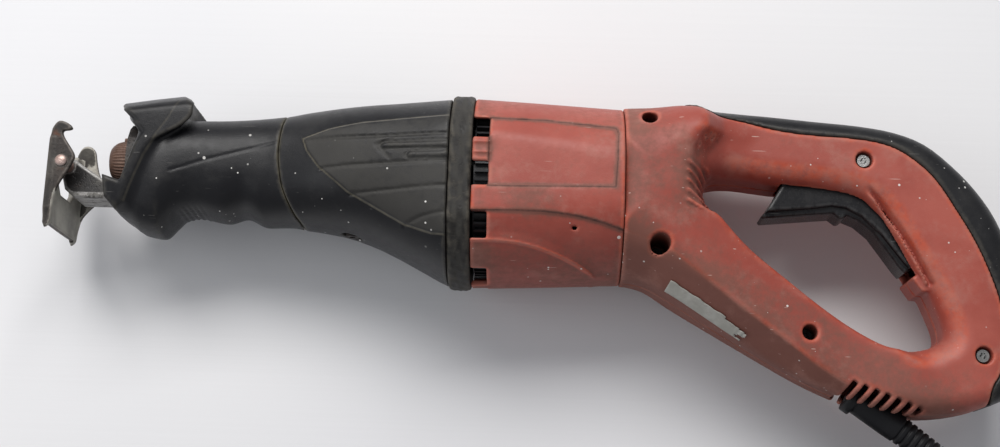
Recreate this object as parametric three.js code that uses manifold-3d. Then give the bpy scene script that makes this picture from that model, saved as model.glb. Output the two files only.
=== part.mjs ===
// Corded reciprocating saw with a D-shaped rear handle, lying on its right side.
// Millimetres, +Z up. X runs along the tool from the shoe to the handle, Y points to the
// tool's top edge and Z points out of its left side. While it is modelled, the motor axis
// is the X axis; the last lines stand the finished saw on z = 0 under its own middle.
import * as THREE from 'three';
import { mergeVertices } from 'three/addons/utils/BufferGeometryUtils.js';
import Module from 'manifold-3d';

const wasm = await Module();
wasm.setup();

// ---- driving dimensions ----
const gap = 0.3; // clearance between pieces that touch or fit
const slideGap = 0.15; // clearance of the plunger in its bushes
const shellWall = 3;
const gripWall = 4;
const chamberWall = 3.2;

const housingFront = -13.5; // motor housing, along X
const housingRear = 61.2;
const housingRadiusFront = 50;
const housingRadiusMiddle = 48.4;
const housingRadiusRear = 46.2;
const bodyPower = 2.5; // roundness of the body sections, 2 being an ellipse
const sideFlat = 45; // half the width across the flat sides
const ventDepth = 8;
const spiderDepth = 5; // the rear bearing's seat inside the housing
const collarFront = -25;
const collarRadius = 51;
const collarDepth = 5; // how far the collar reaches inwards from the flat sides

const plungerY = 10.8; // height of the plunger axis over the motor axis
const plungerRadius = 8;
const plungerNeck = 5.9;
const strokeBack = 30; // how far the plunger draws back from rest
const bladeSlot = 1.8;
const sleeveRadius = 11.3;
const sleeveFront = -202;
const sleeveLength = 19;
const sleeveLip = 6;
const bushOuter = 12;
const bushLength = 17.7;
const sealLength = 2.2;

const pivotX = -221.4; // shoe pivot
const pivotY = 5;
const rivetRadius = 2.4;
const shoeFront = -228;
const shoeHalfWidth = 24;
const shoePlate = 3.2;
const earThickness = 3;
const headRear = -200.5; // the rail's forked head ends here
const headHalf = 11;
const forkHalf = 3.2;
const railRear = -100;
const railHalfWidth = 10.5;
const railTop = -7.6;
const railBottom = -10.8;

const chamberFront = -98;
const plateFront = -33.4; // the bearing plate closes the gear chamber behind this
const plateRear = -26;
const coverScrewX = -75.3;
const coverScrewRadius = 3.5;

const pinionTeeth = 8;
const crankTeeth = 48;
const toothPitch = 3;
const toothHalf = 2.2; // half the face width of the meshing teeth
const crankX = -68.4;
const crankThrow = 16;
const crankRoot = -5.1; // height of the crank disc's face
const crankDisc = 5;
const crankHub = 5.5;
const crankBearingRadius = 9.5;
const crankBearingDepth = 7;
const crankPin = 3;
const rollerRadius = 4.6;

const shaftRadius = 6;
const bearingRadius = 13;
const stackRear = 38; // the armature core runs from the origin to here
const stackRadius = 25;
const statorGap = 2; // from the stator to the housing's side walls
const commutatorRadius = 13.5;
const commutatorRear = 56;
const brushHalf = 3;
const fanFront = -23;
const fanRear = -11;
const fanBlades = 9;

const handleHalf = 22; // half thickness of the D handle
const handleRound = 10;
const ringSteps = 48;
const triggerHalf = 12;
const triggerPivot = [206, -32];
const triggerPin = 3.2;
const triggerWall = 2.5;
const screwRadius = 2;
const screwHeadRadius = 3.5;
const screwBoss = 5.6;

const cordRadius = 4.25;
const bootFrom = [176, -98];
const bootTurn = -0.61;
const bootLength = 58;
const bootRadius = 7.3;
const bootFlange = 9;
const bootTip = 5.6;
const coilMiddle = [189, -203];
const coilRadius = 49; // to the middle of the turns
const coilHalfWidth = 16.4;
const coilHeight = 34.4;
const coilLift = 1.5; // the tie's lower strap passes under the coil
const plugRadius = 17;
const plugPinRadius = 2.4;
const plugPinPlace = 9.5;

const wide = 400; // reach of a cutting slab past the whole saw
const floorZ = -sideFlat;
const coverRear = collarFront - gap;
const housingInset = gripWall + gap;
const handleFront = housingRear + gap;
const rodFront = sleeveFront + 1;
const sleeveRear = sleeveFront + sleeveLength;
const lipRear = sleeveFront + sleeveLip;
const sealFront = sleeveRear + strokeBack + gap;
const counterboreEnd = sealFront + sealLength + gap;
const slotHalfLength = crankPin + 2; // the yoke's slot, along X
const yokeLength = 16;
const yokeFront = crankX - crankThrow + 2 - yokeLength / 2;
const yokeHalf = crankThrow + slotHalfLength + 1;
const pinTop = plungerY - plungerRadius - 2 * gap;
const pinionRadius = (pinionTeeth * toothPitch) / (2 * Math.PI);
const crankRadius = (crankTeeth * toothPitch) / (2 * Math.PI);
const crankTip = 0.72 - pinionRadius; // top of the crank's teeth, in mesh with the pinion
const shaftHole = shaftRadius + gap;
const statorRadius = sideFlat - shellWall - statorGap;
const windingRadius = statorRadius - 3;
const guideRadius = statorRadius + 1.4;

// ---- materials ----
function paint(color, roughness, metalness = 0) {
  return new THREE.MeshStandardMaterial({ color, roughness, metalness });
}
const redPlastic = paint(0xa8493c, 0.6);
const blackRubber = paint(0x232323, 0.55);
const blackPlastic = paint(0x2b2b2c, 0.5);
const rustySteel = paint(0x4a3b33, 0.75, 0.5);
const wornSteel = paint(0x8a8780, 0.5, 0.8);
const brightSteel = paint(0xb4b6b8, 0.3, 0.9);
const castAluminium = paint(0x8d8f90, 0.55, 0.7);
const bronze = paint(0x9b7440, 0.4, 0.8);
const copper = paint(0xb0643a, 0.4, 0.8);
const carbon = paint(0x1b1b1c, 0.8);

// ---- solids ----
const saw = new THREE.Group();

// Turns a closed three.js geometry into a solid, with its faces pointing out.
function solid(geometry) {
  const bare = geometry.clone();
  bare.deleteAttribute('normal');
  bare.deleteAttribute('uv');
  const merged = mergeVertices(bare, 1e-4);
  const points = merged.attributes.position;
  const corners = [new THREE.Vector3(), new THREE.Vector3(), new THREE.Vector3()];
  const kept = [];
  let volume = 0;
  for (let i = 0; i < merged.index.count; i += 3) {
    const [a, b, c] = [0, 1, 2].map((k) => merged.index.getX(i + k));
    if (a !== b && b !== c && c !== a) {
      [a, b, c].forEach((index, k) => corners[k].fromBufferAttribute(points, index));
      volume += corners[0].dot(corners[1].cross(corners[2]));
      kept.push([a, b, c]);
    }
  }
  const triangles = volume < 0 ? kept.map(([a, b, c]) => [a, c, b]) : kept;
  return new wasm.Manifold(new wasm.Mesh({
    numProp: 3,
    vertProperties: new Float32Array(points.array),
    triVerts: new Uint32Array(triangles.flat()),
  }));
}

function addPiece(name, body, material) {
  const mesh = body.getMesh();
  const geometry = new THREE.BufferGeometry();
  geometry.setAttribute('position', new THREE.BufferAttribute(mesh.vertProperties, 3));
  geometry.setIndex(new THREE.BufferAttribute(mesh.triVerts, 1));
  geometry.computeVertexNormals();
  const piece = new THREE.Mesh(geometry, material);
  piece.name = name;
  saw.add(piece);
  return piece;
}

function box(low, high) {
  const geometry = new THREE.BoxGeometry(high[0] - low[0], high[1] - low[1], high[2] - low[2]);
  geometry.translate((high[0] + low[0]) / 2, (high[1] + low[1]) / 2, (high[2] + low[2]) / 2);
  return solid(geometry);
}

// A solid turned about a line along X at height y, from [x, radius] points that start and end on it.
function latheX(points, y = 0, steps = 32) {
  const profile = points.map(([x, radius]) => new THREE.Vector2(radius, x));
  const geometry = new THREE.LatheGeometry(profile, steps);
  geometry.rotateZ(-Math.PI / 2);
  geometry.translate(0, y, 0);
  return solid(geometry);
}

function rodX(from, to, radius, y = 0, steps = 32) {
  return latheX([[from, 0], [from, radius], [to, radius], [to, 0]], y, steps);
}

function ringX(from, to, inner, outer, y = 0, steps = 32) {
  return latheX([[from, inner], [from, outer], [to, outer], [to, inner], [from, inner]], y, steps);
}

function rodY(x, z, from, to, radius, steps = 32) {
  const geometry = new THREE.CylinderGeometry(radius, radius, to - from, steps);
  geometry.translate(x, (from + to) / 2, z);
  return solid(geometry);
}

function rodZ(x, y, from, to, radius, steps = 20) {
  const geometry = new THREE.CylinderGeometry(radius, radius, to - from, steps);
  geometry.rotateX(Math.PI / 2);
  geometry.translate(x, y, (from + to) / 2);
  return solid(geometry);
}

function outline(points) {
  return new THREE.Shape(points.map(([x, y]) => new THREE.Vector2(x, y)));
}

// A closed or open smooth run through the points, as plain [x, y] pairs.
function smooth(points, steps, closed = false) {
  const curve = new THREE.CatmullRomCurve3(
    points.map(([x, y]) => new THREE.Vector3(x, y, 0)), closed, 'centripetal');
  const found = curve.getPoints(steps).map((point) => [point.x, point.y]);
  return closed ? found.slice(0, -1) : found;
}

// A plate in the XY plane between two heights.
function plate(shape, low, high) {
  const geometry = new THREE.ExtrudeGeometry(shape, { depth: high - low, bevelEnabled: false });
  geometry.translate(0, 0, low);
  return solid(geometry);
}

// A body lofted along X through superellipse stations [x, top, bottom, half width].
function loft(stations, inset = 0, power = bodyPower, flat = 1000, steps = 24) {
  const geometry = new THREE.CylinderGeometry(1, 1, 1, steps, stations.length - 1);
  const places = geometry.attributes.position;
  for (let i = 0; i < places.count; i += 1) {
    const step = Math.round((places.getY(i) + 0.5) * (stations.length - 1));
    const [x, top, bottom, halfWidth] = stations[step];
    const radial = Math.hypot(places.getX(i), places.getZ(i));
    const angle = Math.atan2(places.getZ(i), places.getX(i));
    const cosine = Math.cos(angle);
    const sine = Math.sin(angle);
    const reach = radial / (Math.abs(cosine) ** power + Math.abs(sine) ** power) ** (1 / power);
    const y = (top + bottom) / 2 + reach * cosine * ((top - bottom) / 2 - inset);
    const z = reach * sine * (halfWidth - inset);
    places.setXYZ(i, x, y, Math.max(inset - flat, Math.min(flat - inset, z)));
  }
  return solid(geometry);
}

// A turned box: its middle, its size and its turn about Z.
function turnedBox(middle, size, turn) {
  const geometry = new THREE.BoxGeometry(...size);
  geometry.rotateZ(turn);
  geometry.translate(...middle);
  return solid(geometry);
}

function join(solids) {
  return solids.reduce((whole, next) => whole.add(next));
}

function cut(whole, tools) {
  return tools.reduce((left, tool) => left.subtract(tool), whole);
}

// ---- motor housing and collar ----
const housingStations = [
  [housingFront, housingRadiusFront, -housingRadiusFront, housingRadiusFront],
  [20, housingRadiusMiddle, -housingRadiusMiddle, housingRadiusMiddle],
  [housingRear, housingRadiusRear, -housingRadiusRear, housingRadiusRear],
];

function motorHousing() {
  const outer = loft(housingStations, 0, 2, sideFlat);
  const past = housingStations.map(([x, ...rest], i) => [x + (i - 1) * 2, ...rest]);
  const inner = loft(past, shellWall, 2, sideFlat);
  const spiderFront = housingRear - spiderDepth;
  const spider = join([
    rodX(spiderFront, housingRear, bearingRadius + 4),
    box([spiderFront, 1 - housingRadiusRear, -5], [housingRear, housingRadiusRear - 1, 5]),
    box([spiderFront, -5, 1 - sideFlat], [housingRear, 5, sideFlat - 1]),
  ]);
  const bore = rodX(spiderFront - 1, housingRear + 1, bearingRadius + gap);
  const shell = cut(outer, [inner]).add(cut(spider, [bore]));
  const ventFront = housingFront - 1;
  const vents = [[17, 29], [-6, 6], [-33, -21]].map(([low, high]) => box(
    [ventFront, low, -wide], [housingFront + ventDepth, high, wide]));
  return cut(shell, vents);
}

function collarBand() {
  const outer = rodX(collarFront, housingFront - gap, collarRadius, 0, 48);
  const flats = box([collarFront - 1, -wide, -sideFlat], [housingFront + 1, wide, sideFlat]);
  const bore = rodX(collarFront - 1, housingFront + 1, sideFlat - collarDepth, 0, 48);
  return cut(outer.intersect(flats), [bore]);
}

// The ring behind the vents that keeps the motor's air off the housing wall.
function airGuide() {
  return ringX(housingFront + 2 * gap, -2, statorRadius - 2, guideRadius, 0, 40);
}

// ---- gear cover and front grip ----
const coverStations = [
  [-118, 36.8, -20.3, 25.5],
  [-110, 38, -20.8, 27],
  [-98, 41, -21.6, 30],
  [-79, 44.3, -24.3, 36],
  [-66, 45.6, -28.3, 38.7],
  [-53, 46.8, -34, 41],
  [-41, 47.8, -40.2, 43.6],
  [coverRear, 48.7, -48, 48],
];
// The rubber grip and the gear cover meet on a line that sweeps back towards the tool's underside.
const seamLine = [
  [-109, 60], [-110.4, 38], [-111.7, 13], [-109.6, -3], [-103.7, -17], [-98, -24], [-92, -40],
];

// The station at one place between two given ones.
function stationAt(stations, x) {
  const next = Math.max(1, stations.findIndex((station) => station[0] >= x));
  const [before, after] = [stations[next - 1], stations[next]];
  const share = (x - before[0]) / (after[0] - before[0]);
  return before.map((value, i) => value + share * (after[i] - value));
}

function seamSide(offset, far) {
  const line = smooth(seamLine, 12).map(([x, y]) => [x + offset, y]);
  return plate(outline([...line, [far, -wide], [far, wide]]), -wide, wide);
}

function slab(from, to) {
  return box([from, -wide, -wide], [to, wide, wide]);
}

// The cover's body run on past both ends, for what is cut out of it or sits inside it.
function coverBody(inset) {
  const last = stationAt(coverStations, coverRear - 0.001);
  const first = [-124, ...coverStations[0].slice(1)];
  const past = [first, ...coverStations.slice(1, -1), [coverRear + 2, ...last.slice(1)]];
  return loft(past, inset, bodyPower, sideFlat);
}

function gearCover() {
  return cut(loft(coverStations, 0, bodyPower, sideFlat), [
    coverBody(gripWall),
    seamSide(gap / 2, -300),
    rodY(coverScrewX, 0, -60, 0, coverScrewRadius + 1.5, 20),
  ]);
}

function coverScrew() {
  const seat = stationAt(coverStations, coverScrewX + coverScrewRadius)[2] + housingInset - 2 * gap;
  const head = rodY(coverScrewX, 0, seat - 2.6, seat, coverScrewRadius, 16);
  return cut(head, [rodY(coverScrewX, 0, seat - 4, seat - 1.2, 1.8, 6)]);
}

const gripStations = [
  [-199, 39.6, -11.5, 24],
  [-196, 40.6, -15, 26.5],
  [-189, 41.5, -22.5, 29],
  [-181, 42.5, -27.3, 30],
  [-173, 43.8, -28.4, 29.5],
  [-168, 45, -23.5, 28],
  [-163, 44.8, -18.6, 26.5],
  [-157, 39.5, -17.3, 25.5],
  [-151, 34.6, -17, 25],
  [-140, 35.2, -19.1, 25],
  [-131, 35.9, -17, 25],
  [-119, 37, -20.6, 25.4],
  [-110, 38, -20.8, 27],
  [-98, 41, -21.6, 30],
];
const mouthRear = -190; // the gear housing's nose reaches this far forward
const noseStations = [
  [mouthRear, 30, -14.8, 21.2],
  [-157, 30, -14.8, 21.2],
  [-124, 31.6, -15.2, 21.4],
  [-110, 33.7, -16.5, 22.7],
  [-98, 36.7, -17.3, 25.7],
];

function frontGrip() {
  const outer = loft(gripStations, 0, bodyPower);
  const bore = [[mouthRear - 4, ...noseStations[0].slice(1)], ...noseStations.slice(1)];
  bore.push([-90, 39, -18.2, 28.4]);
  const hood = [
    [-202, 36, -8, 21],
    [-194, 37, -13, 24],
    [mouthRear - 0.5, 33, -16, 22],
    [-186, 30, -14.8, 21.2],
  ];
  const scoop = [
    [-215, 31.5], [-193, 31.5], [-184.5, 23], [-183.5, 16], [-190, -3.5], [-198, -5], [-215, -5],
  ];
  return cut(outer, [
    loft(bore, 0, bodyPower),
    loft(hood, 0, bodyPower),
    box([-205, railBottom - 2 * gap, -railHalfWidth - 2 * gap],
      [mouthRear + 1, railTop + 6, railHalfWidth + 2 * gap]),
    plate(outline(scoop), -wide, wide),
    seamSide(-gap / 2, 300),
  ]);
}

// ---- gear housing ----
function inside([x, top, bottom, half], inset) {
  return [x, top - inset, bottom + inset, half - inset];
}

function gearHousing() {
  const rear = coverBody(housingInset).intersect(slab(chamberFront, plateFront - gap));
  const nose = loft(noseStations.map((station) => inside(station, gap)));
  const body = nose.add(rear);
  return cut(body, [
    coverBody(housingInset + chamberWall).intersect(slab(chamberFront, plateFront)),
    rodY(crankX, 0, crankRoot - crankDisc - 1, 4, crankRadius + toothHalf + 1, 32),
    rodY(crankX, 0, crankRoot - crankDisc - crankBearingDepth - gap, crankRoot, crankBearingRadius + gap, 24),
    rodX(mouthRear - 1, counterboreEnd, sleeveRadius + 2, plungerY, 28),
    rodX(counterboreEnd - 1, chamberFront + 1, bushOuter + gap, plungerY, 28),
    box([mouthRear - 1, railBottom - gap, -railHalfWidth - gap],
      [chamberFront + 1, railTop + gap, railHalfWidth + gap]),
  ]);
}

function bearingPlate() {
  const disc = coverBody(housingInset).intersect(slab(plateFront, plateRear));
  return cut(disc, [rodX(plateFront - 1, plateRear + 1, bearingRadius + gap)]);
}

// ---- plunger, blade clamp and bushes ----
function plunger() {
  const rod = latheX([
    [rodFront, 0], [rodFront, plungerNeck], [lipRear + gap, plungerNeck], [lipRear + gap, plungerRadius],
    [yokeFront + 1, plungerRadius], [yokeFront + 1, 0],
  ], plungerY, 28);
  const yokeMiddle = yokeFront + yokeLength / 2;
  const yokeRear = yokeFront + yokeLength;
  const yoke = box([yokeFront, plungerY - 5.3, -yokeHalf], [yokeRear, plungerY + 5.2, yokeHalf]);
  const slot = box([yokeMiddle - slotHalfLength, plungerY - 7, 1.5 - yokeHalf],
    [yokeMiddle + slotHalfLength, plungerY + 1.2, yokeHalf - 1.5]);
  const reach = plungerRadius + 1;
  const bladeWay = box([rodFront - 1, plungerY - reach, -bladeSlot / 2],
    [rodFront + 17, plungerY + reach, bladeSlot / 2]);
  return cut(rod.add(yoke), [slot, bladeWay]);
}

function bladeClampSleeve() {
  const dome = [[0, -3.7], [1.2, -2.3], [3, -1.1], [5.5, -0.3], [8.5, 0], [sleeveLength, 0]];
  const sleeve = latheX([
    ...dome.map(([x, drop]) => [sleeveFront + x, sleeveRadius + drop]),
    [sleeveRear, plungerRadius + gap], [lipRear, plungerRadius + gap],
    [lipRear, plungerNeck + gap], [sleeveFront, plungerNeck + gap], [sleeveFront, sleeveRadius - 3.7],
  ], plungerY, 24);
  const lugTop = plungerY + sleeveRadius + 1.2;
  const lug = box([lipRear, lugTop - 2.2, -4], [lipRear + 6.5, lugTop, 4]);
  return sleeve.add(lug);
}

function plungerBush(from, to) {
  return ringX(from, to, plungerRadius + slideGap, bushOuter, plungerY, 28);
}

function plungerSeal() {
  return ringX(sealFront, sealFront + sealLength, plungerRadius + gap, sleeveRadius + 1.6, plungerY, 28);
}

// ---- shoe ----
// Two hooked ears joined by a front plate that is open upwards for the blade.
function shoe() {
  const half = shoeHalfWidth;
  const slotHalf = headHalf + 1.2;
  const top = 17;
  const face = outline([[-half, top], [-half, -19], [-half + 4, -27], [half - 4, -27], [half, -19],
    [half, top], [slotHalf + 2, top], [slotHalf, top - 4], [slotHalf, -5], [slotHalf - 4, -9],
    [-slotHalf + 4, -9], [-slotHalf, -5], [-slotHalf, top - 4], [-slotHalf - 2, top]]);
  const front = new THREE.ExtrudeGeometry(face, { depth: shoePlate, bevelEnabled: false });
  front.rotateY(Math.PI / 2);
  front.translate(shoeFront, 0, 0);
  const ear = outline([
    [shoeFront, -20], [shoeFront, 20], ...smooth([[shoeFront + 0.8, 23], [shoeFront + 4, 26],
      [shoeFront + 8, 25.4], [shoeFront + 10.5, 22.2]], 6),
    [shoeFront + 8.8, 21.4], ...smooth([[shoeFront + 5.6, 20.4], [shoeFront + 8, 16], [shoeFront + 11.6, 11],
      [shoeFront + 12.6, 7.5], [shoeFront + 11, 3], [shoeFront + 6, -6], [shoeFront + 3.9, -13]], 12),
    [shoeFront + 3.5, -20],
  ]);
  const ears = [-1, 1].map((side) => {
    const low = side > 0 ? half - earThickness : -half;
    return cut(plate(ear, low, low + earThickness), [rodZ(pivotX, pivotY, -wide, wide, rivetRadius + gap)]);
  });
  return join([solid(front), ...ears]);
}

function shoeRivet(side) {
  const shank = rodZ(pivotX, pivotY, forkHalf + gap, shoeHalfWidth + gap, rivetRadius, 16);
  const head = rodZ(pivotX, pivotY, shoeHalfWidth + gap / 2, shoeHalfWidth + 1.6, rivetRadius + 2, 16);
  const earInside = shoeHalfWidth - earThickness;
  const collar = rodZ(pivotX, pivotY, headHalf + gap, earInside - gap, rivetRadius + 0.6, 16);
  const rivet = join([shank, head, collar]);
  return side > 0 ? rivet : rivet.scale([1, 1, -1]);
}

// The depth rail with the forked head that carries the shoe.
function shoeRail() {
  const rail = box([headRear - 2, railBottom, -railHalfWidth], [railRear, railTop, railHalfWidth]);
  const side = outline([
    ...smooth([[pivotX - 4.6, pivotY], [pivotX - 3.2, pivotY + 3.4], [pivotX, pivotY + 4.6]], 4),
    [pivotX + 5, pivotY + 3.2], [headRear - 1.5, -1.5], [headRear, -3], [headRear, railBottom],
    [pivotX + 4, railBottom], [pivotX - 2, -4],
  ]);
  const head = cut(plate(side, -headHalf, headHalf), [
    box([-wide, -5, -forkHalf], [headRear + 1, 30, forkHalf]),
    rodZ(pivotX, pivotY, -wide, wide, rivetRadius + gap, 16),
  ]);
  const slot = box([headRear + 3, railBottom - 1, -3], [headRear + 12, railTop + 1, 3]);
  return cut(head.add(rail), [slot]);
}

// ---- crank and armature ----
function crankGear() {
  const under = crankRoot - crankDisc;
  const disc = rodY(crankX, 0, under, crankRoot, crankRadius + toothHalf, 36);
  const hub = rodY(crankX, 0, under - crankBearingDepth + 2 * gap, under + 0.1, crankHub, 24);
  const pin = rodY(crankX - crankThrow, 0, crankRoot - 1, pinTop, crankPin, 20);
  const teeth = [];
  for (let i = 0; i < crankTeeth; i += 1) {
    const turn = ((i + 0.5) / crankTeeth) * 2 * Math.PI;
    const tooth = new THREE.BoxGeometry(2 * toothHalf, crankTip - crankRoot + 0.4, 0.95);
    tooth.translate(crankRadius, (crankTip + crankRoot - 0.4) / 2, 0);
    tooth.rotateY(turn);
    tooth.translate(crankX, 0, 0);
    teeth.push(solid(tooth));
  }
  return join([disc, hub, pin, ...teeth]);
}

function crankRoller() {
  const middle = crankX - crankThrow;
  const roller = rodY(middle, 0, crankRoot + gap, pinTop - gap, rollerRadius, 24);
  return cut(roller, [rodY(middle, 0, crankRoot, pinTop, crankPin + gap, 20)]);
}

function crankBearing() {
  const top = crankRoot - crankDisc - gap;
  const ring = rodY(crankX, 0, top - crankBearingDepth + gap, top, crankBearingRadius, 24);
  return cut(ring, [rodY(crankX, 0, -wide, 0, crankHub + gap, 24)]);
}

function armatureShaft() {
  const pinionRear = crankX + crankRadius + toothHalf;
  const pinionFront = pinionRear - 2 * toothHalf;
  const shaft = latheX([
    [pinionFront, 0], [pinionFront, 2.7], [pinionRear + 0.4, 2.7], [pinionRear + 0.4, shaftRadius],
    [housingRear + 1, shaftRadius], [housingRear + 1, 0],
  ], 0, 24);
  const teeth = [];
  for (let i = 0; i < pinionTeeth; i += 1) {
    const tooth = new THREE.BoxGeometry(pinionRear - pinionFront, 2.2, 0.85);
    tooth.translate((pinionRear + pinionFront) / 2, -(2.4 + 1.1), 0);
    tooth.rotateX((i / pinionTeeth) * 2 * Math.PI);
    teeth.push(solid(tooth));
  }
  return join([shaft, ...teeth]);
}

function coolingFan() {
  const hubRadius = 2 * shaftRadius;
  const rim = windingRadius - 1;
  const hub = ringX(fanFront, fanRear, shaftHole, hubRadius, 0, 20);
  const disc = ringX(fanFront, fanFront + 2, shaftHole, rim, 0, 28);
  const blades = [];
  for (let i = 0; i < fanBlades; i += 1) {
    const blade = new THREE.BoxGeometry(fanRear - fanFront - 2.2, rim - hubRadius - 1, 1.6);
    blade.translate((fanFront + fanRear) / 2 + 0.9, (rim + hubRadius - 2) / 2, 0);
    blade.rotateX((i / fanBlades) * 2 * Math.PI);
    blades.push(solid(blade));
  }
  return join([hub, disc, ...blades]);
}

function armatureCore() {
  return ringX(0, stackRear, shaftHole, stackRadius, 0, 36);
}

function commutator() {
  return ringX(stackRear + 5, commutatorRear, shaftHole, commutatorRadius, 0, 32);
}

function ballBearing(from, to) {
  return ringX(from, to, shaftHole, bearingRadius, 0, 28);
}

function statorCore() {
  return ringX(-1, stackRear + 1, stackRadius + 1, statorRadius, 0, 40);
}

function fieldWinding(from, to) {
  return ringX(from, to, stackRadius + 2.5, windingRadius, 0, 32);
}

function brushHolder(side) {
  const low = [commutatorRear - 9, commutatorRadius + 1.5, -6];
  const high = [commutatorRear, commutatorRadius + 20.5, 6];
  const wayHalf = brushHalf + gap;
  const way = box([low[0] + 1.4, low[1] - 1, -wayHalf], [high[0] - 1.4, high[1] + 1, wayHalf]);
  const holder = cut(box(low, high), [way]);
  return side > 0 ? holder : holder.scale([1, -1, 1]);
}

function carbonBrush(side) {
  const brush = box([commutatorRear - 7.3, commutatorRadius + 0.4, -brushHalf],
    [commutatorRear - 1.7, commutatorRadius + 15.5, brushHalf]);
  return side > 0 ? brush : brush.scale([1, -1, 1]);
}

// ---- handle ----
// Stations round the D: a point on the outer edge, then its partner on the window's edge.
const ringStations = [
  [72, 2, 102.7, 0], [77, 29, 104, 4.5], [92, 43.7, 108, 7], [112, 43.2, 118, 7.2], [135, 41.2, 137, 5],
  [158, 39.1, 157, 3.3], [180, 37.2, 174, 0.8], [198, 34, 184, -3.6], [213, 27.4, 190.5, -9],
  [226, 17, 195.5, -16.5], [238, 4, 200.5, -25.5], [247.5, -11, 205.5, -35], [254, -29, 211.8, -45.5],
  [257.5, -50, 216.8, -57], [258.5, -70, 220, -66], [257, -86, 219.8, -72], [250, -98.5, 214, -75.5],
  [236, -105, 208, -77.2], [218, -108.5, 201, -77.8], [199, -108.5, 192.5, -77], [181, -104.5, 184, -73.8],
  [163, -98, 172, -67], [141, -87.6, 157, -57], [118.3, -74.2, 141.5, -45.5], [100, -63, 124, -32.5],
  [84, -53.5, 111, -19.5], [75, -36, 105, -11], [72, -17, 103, -5],
];

function ringLoop(outer) {
  const points = ringStations.map((station) => (outer ? station.slice(0, 2) : station.slice(2)));
  return smooth(points, ringSteps, true);
}
const windowEdge = ringLoop(false);

const bodyStations = [
  [handleFront, 45.8, -45.8, 44.5],
  [74, 44.9, -48.2, 43],
  [86, 44, -52, 40],
  [94, 43.4, -49, 35.5],
  [99, 43, -43, 29],
  [103.6, 42, -34, 19],
];

// A closed ring of rounded rectangular section that runs round the window.
function dRing(inset, arcSteps) {
  const half = handleHalf - inset;
  const round = handleRound - inset;
  const outerEdge = ringLoop(true);
  const geometry = new THREE.TorusGeometry(2, 1, 4 * (arcSteps + 1), ringSteps);
  for (let j = 0; j <= 4 * (arcSteps + 1); j += 1) {
    const corner = Math.floor(j / (arcSteps + 1)) % 4;
    const turn = (corner + (j % (arcSteps + 1)) / arcSteps) * (Math.PI / 2);
    for (let i = 0; i <= ringSteps; i += 1) {
      const start = new THREE.Vector2(...outerEdge[i % ringSteps]);
      const end = new THREE.Vector2(...windowEdge[i % ringSteps]);
      const middle = start.clone().add(end).multiplyScalar(0.5);
      const reach = start.distanceTo(end) / 2 - inset - round;
      const across = end.sub(start).normalize();
      const along = Math.cos(turn) * round + (corner === 0 || corner === 3 ? reach : -reach);
      const z = Math.sin(turn) * round + (corner < 2 ? half - round : round - half);
      const point = middle.addScaledVector(across, along);
      geometry.attributes.position.setXYZ(j * (ringSteps + 1) + i, point.x, point.y, z);
    }
  }
  return solid(geometry);
}

function bodyLoft(inset) {
  const past = bodyStations.map(([x, ...rest], i) => [x - (i === 0 ? 2 * Math.sign(inset) : 0), ...rest]);
  return loft(past, inset, bodyPower, sideFlat, 28);
}

function windowPrism(inset) {
  const middle = [165, -25];
  const edge = windowEdge.map(([x, y]) => {
    const away = new THREE.Vector2(x - middle[0], y - middle[1]);
    away.setLength(away.length() + inset);
    return [middle[0] + away.x, middle[1] + away.y];
  });
  return plate(outline(edge), -wide, wide);
}

const handleOuter = dRing(0, 2).add(cut(bodyLoft(0), [windowPrism(0)]));
const handleInner = dRing(shellWall, 1).add(cut(bodyLoft(shellWall), [windowPrism(shellWall)]));

// The soft strip wraps the outer edge of the grip from the tool's top edge to its heel.
const stripLine = [
  [104, 60], [104.5, 41.5], [111, 37], [119, 34.6], [131.7, 32.3], [161, 29.3], [187.7, 26.6], [197.2, 23.5],
  [206.6, 16.6], [216.3, 7.2], [229.6, -12], [241, -33], [246.5, -50], [248.5, -72], [245, -90], [241, -99],
  [240, -120],
];

function stripSide(offset) {
  const line = smooth(stripLine.map(([x, y]) => [x - offset, y - offset]), 28);
  return plate(outline([...line, [wide, -120 - offset], [wide, 60]]), -wide, wide);
}

const screwPlaces = [
  [181.5, 16.5, 14],
  [237, -80, 14],
  [80, -29.5, 8],
  [152.9, -71, 8],
  [75, 32, 8],
];
const triggerSlot = [
  [138, 12], [137.8, -10], [209, -50], [211.5, -36], [205, -18], [197.5, -2], [188, 8], [174, 15.5],
  [141, 17],
];

function handleShell(side) {
  const whole = cut(handleOuter, [handleInner]);
  const bosses = screwPlaces.map(([x, y]) => rodZ(x, y, -wide, wide, screwBoss, 16).intersect(handleOuter));
  const halfSpace = side > 0
    ? box([0, -wide, gap / 2], [wide, wide, wide])
    : box([0, -wide, -wide], [wide, wide, -gap / 2]);
  const front = box([0, -wide, -wide], [handleFront, wide, wide]);
  const shell = cut(join([whole, ...bosses]), [
    front,
    stripSide(gap),
    plate(outline(triggerSlot), -triggerHalf - 2 * gap, triggerHalf + 2 * gap),
    ...screwPlaces.map(([x, y]) => rodZ(x, y, -14, 60, screwRadius + gap, 14)),
    ...screwPlaces.map(([x, y, seat]) => rodZ(x, y, seat, 60, screwHeadRadius + gap, 18)),
    bootCut(),
  ]);
  return shell.intersect(halfSpace);
}

function softStrip() {
  return cut(handleOuter.intersect(stripSide(0)), [handleInner]);
}

function handleScrew([x, y, seat]) {
  const head = rodZ(x, y, seat + 0.2, seat + 3, screwHeadRadius, 16);
  const shank = rodZ(x, y, -13, seat + 1, screwRadius, 12);
  return cut(head.add(shank), [rodZ(x, y, seat + 1.4, seat + 5, 1.7, 6)]);
}

const triggerLine = [
  [143, 7], [133.2, -9.6], [157, -6.6], [167, -4.9], [174, -5.8], [182, -9.8], [191.6, -19], [203, -34.5],
  [205, -36], [207.5, -35.5], [208.2, -33.5], [201.5, -19], [195, -6.5], [185, 3.5], [172, 8.5],
];

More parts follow.
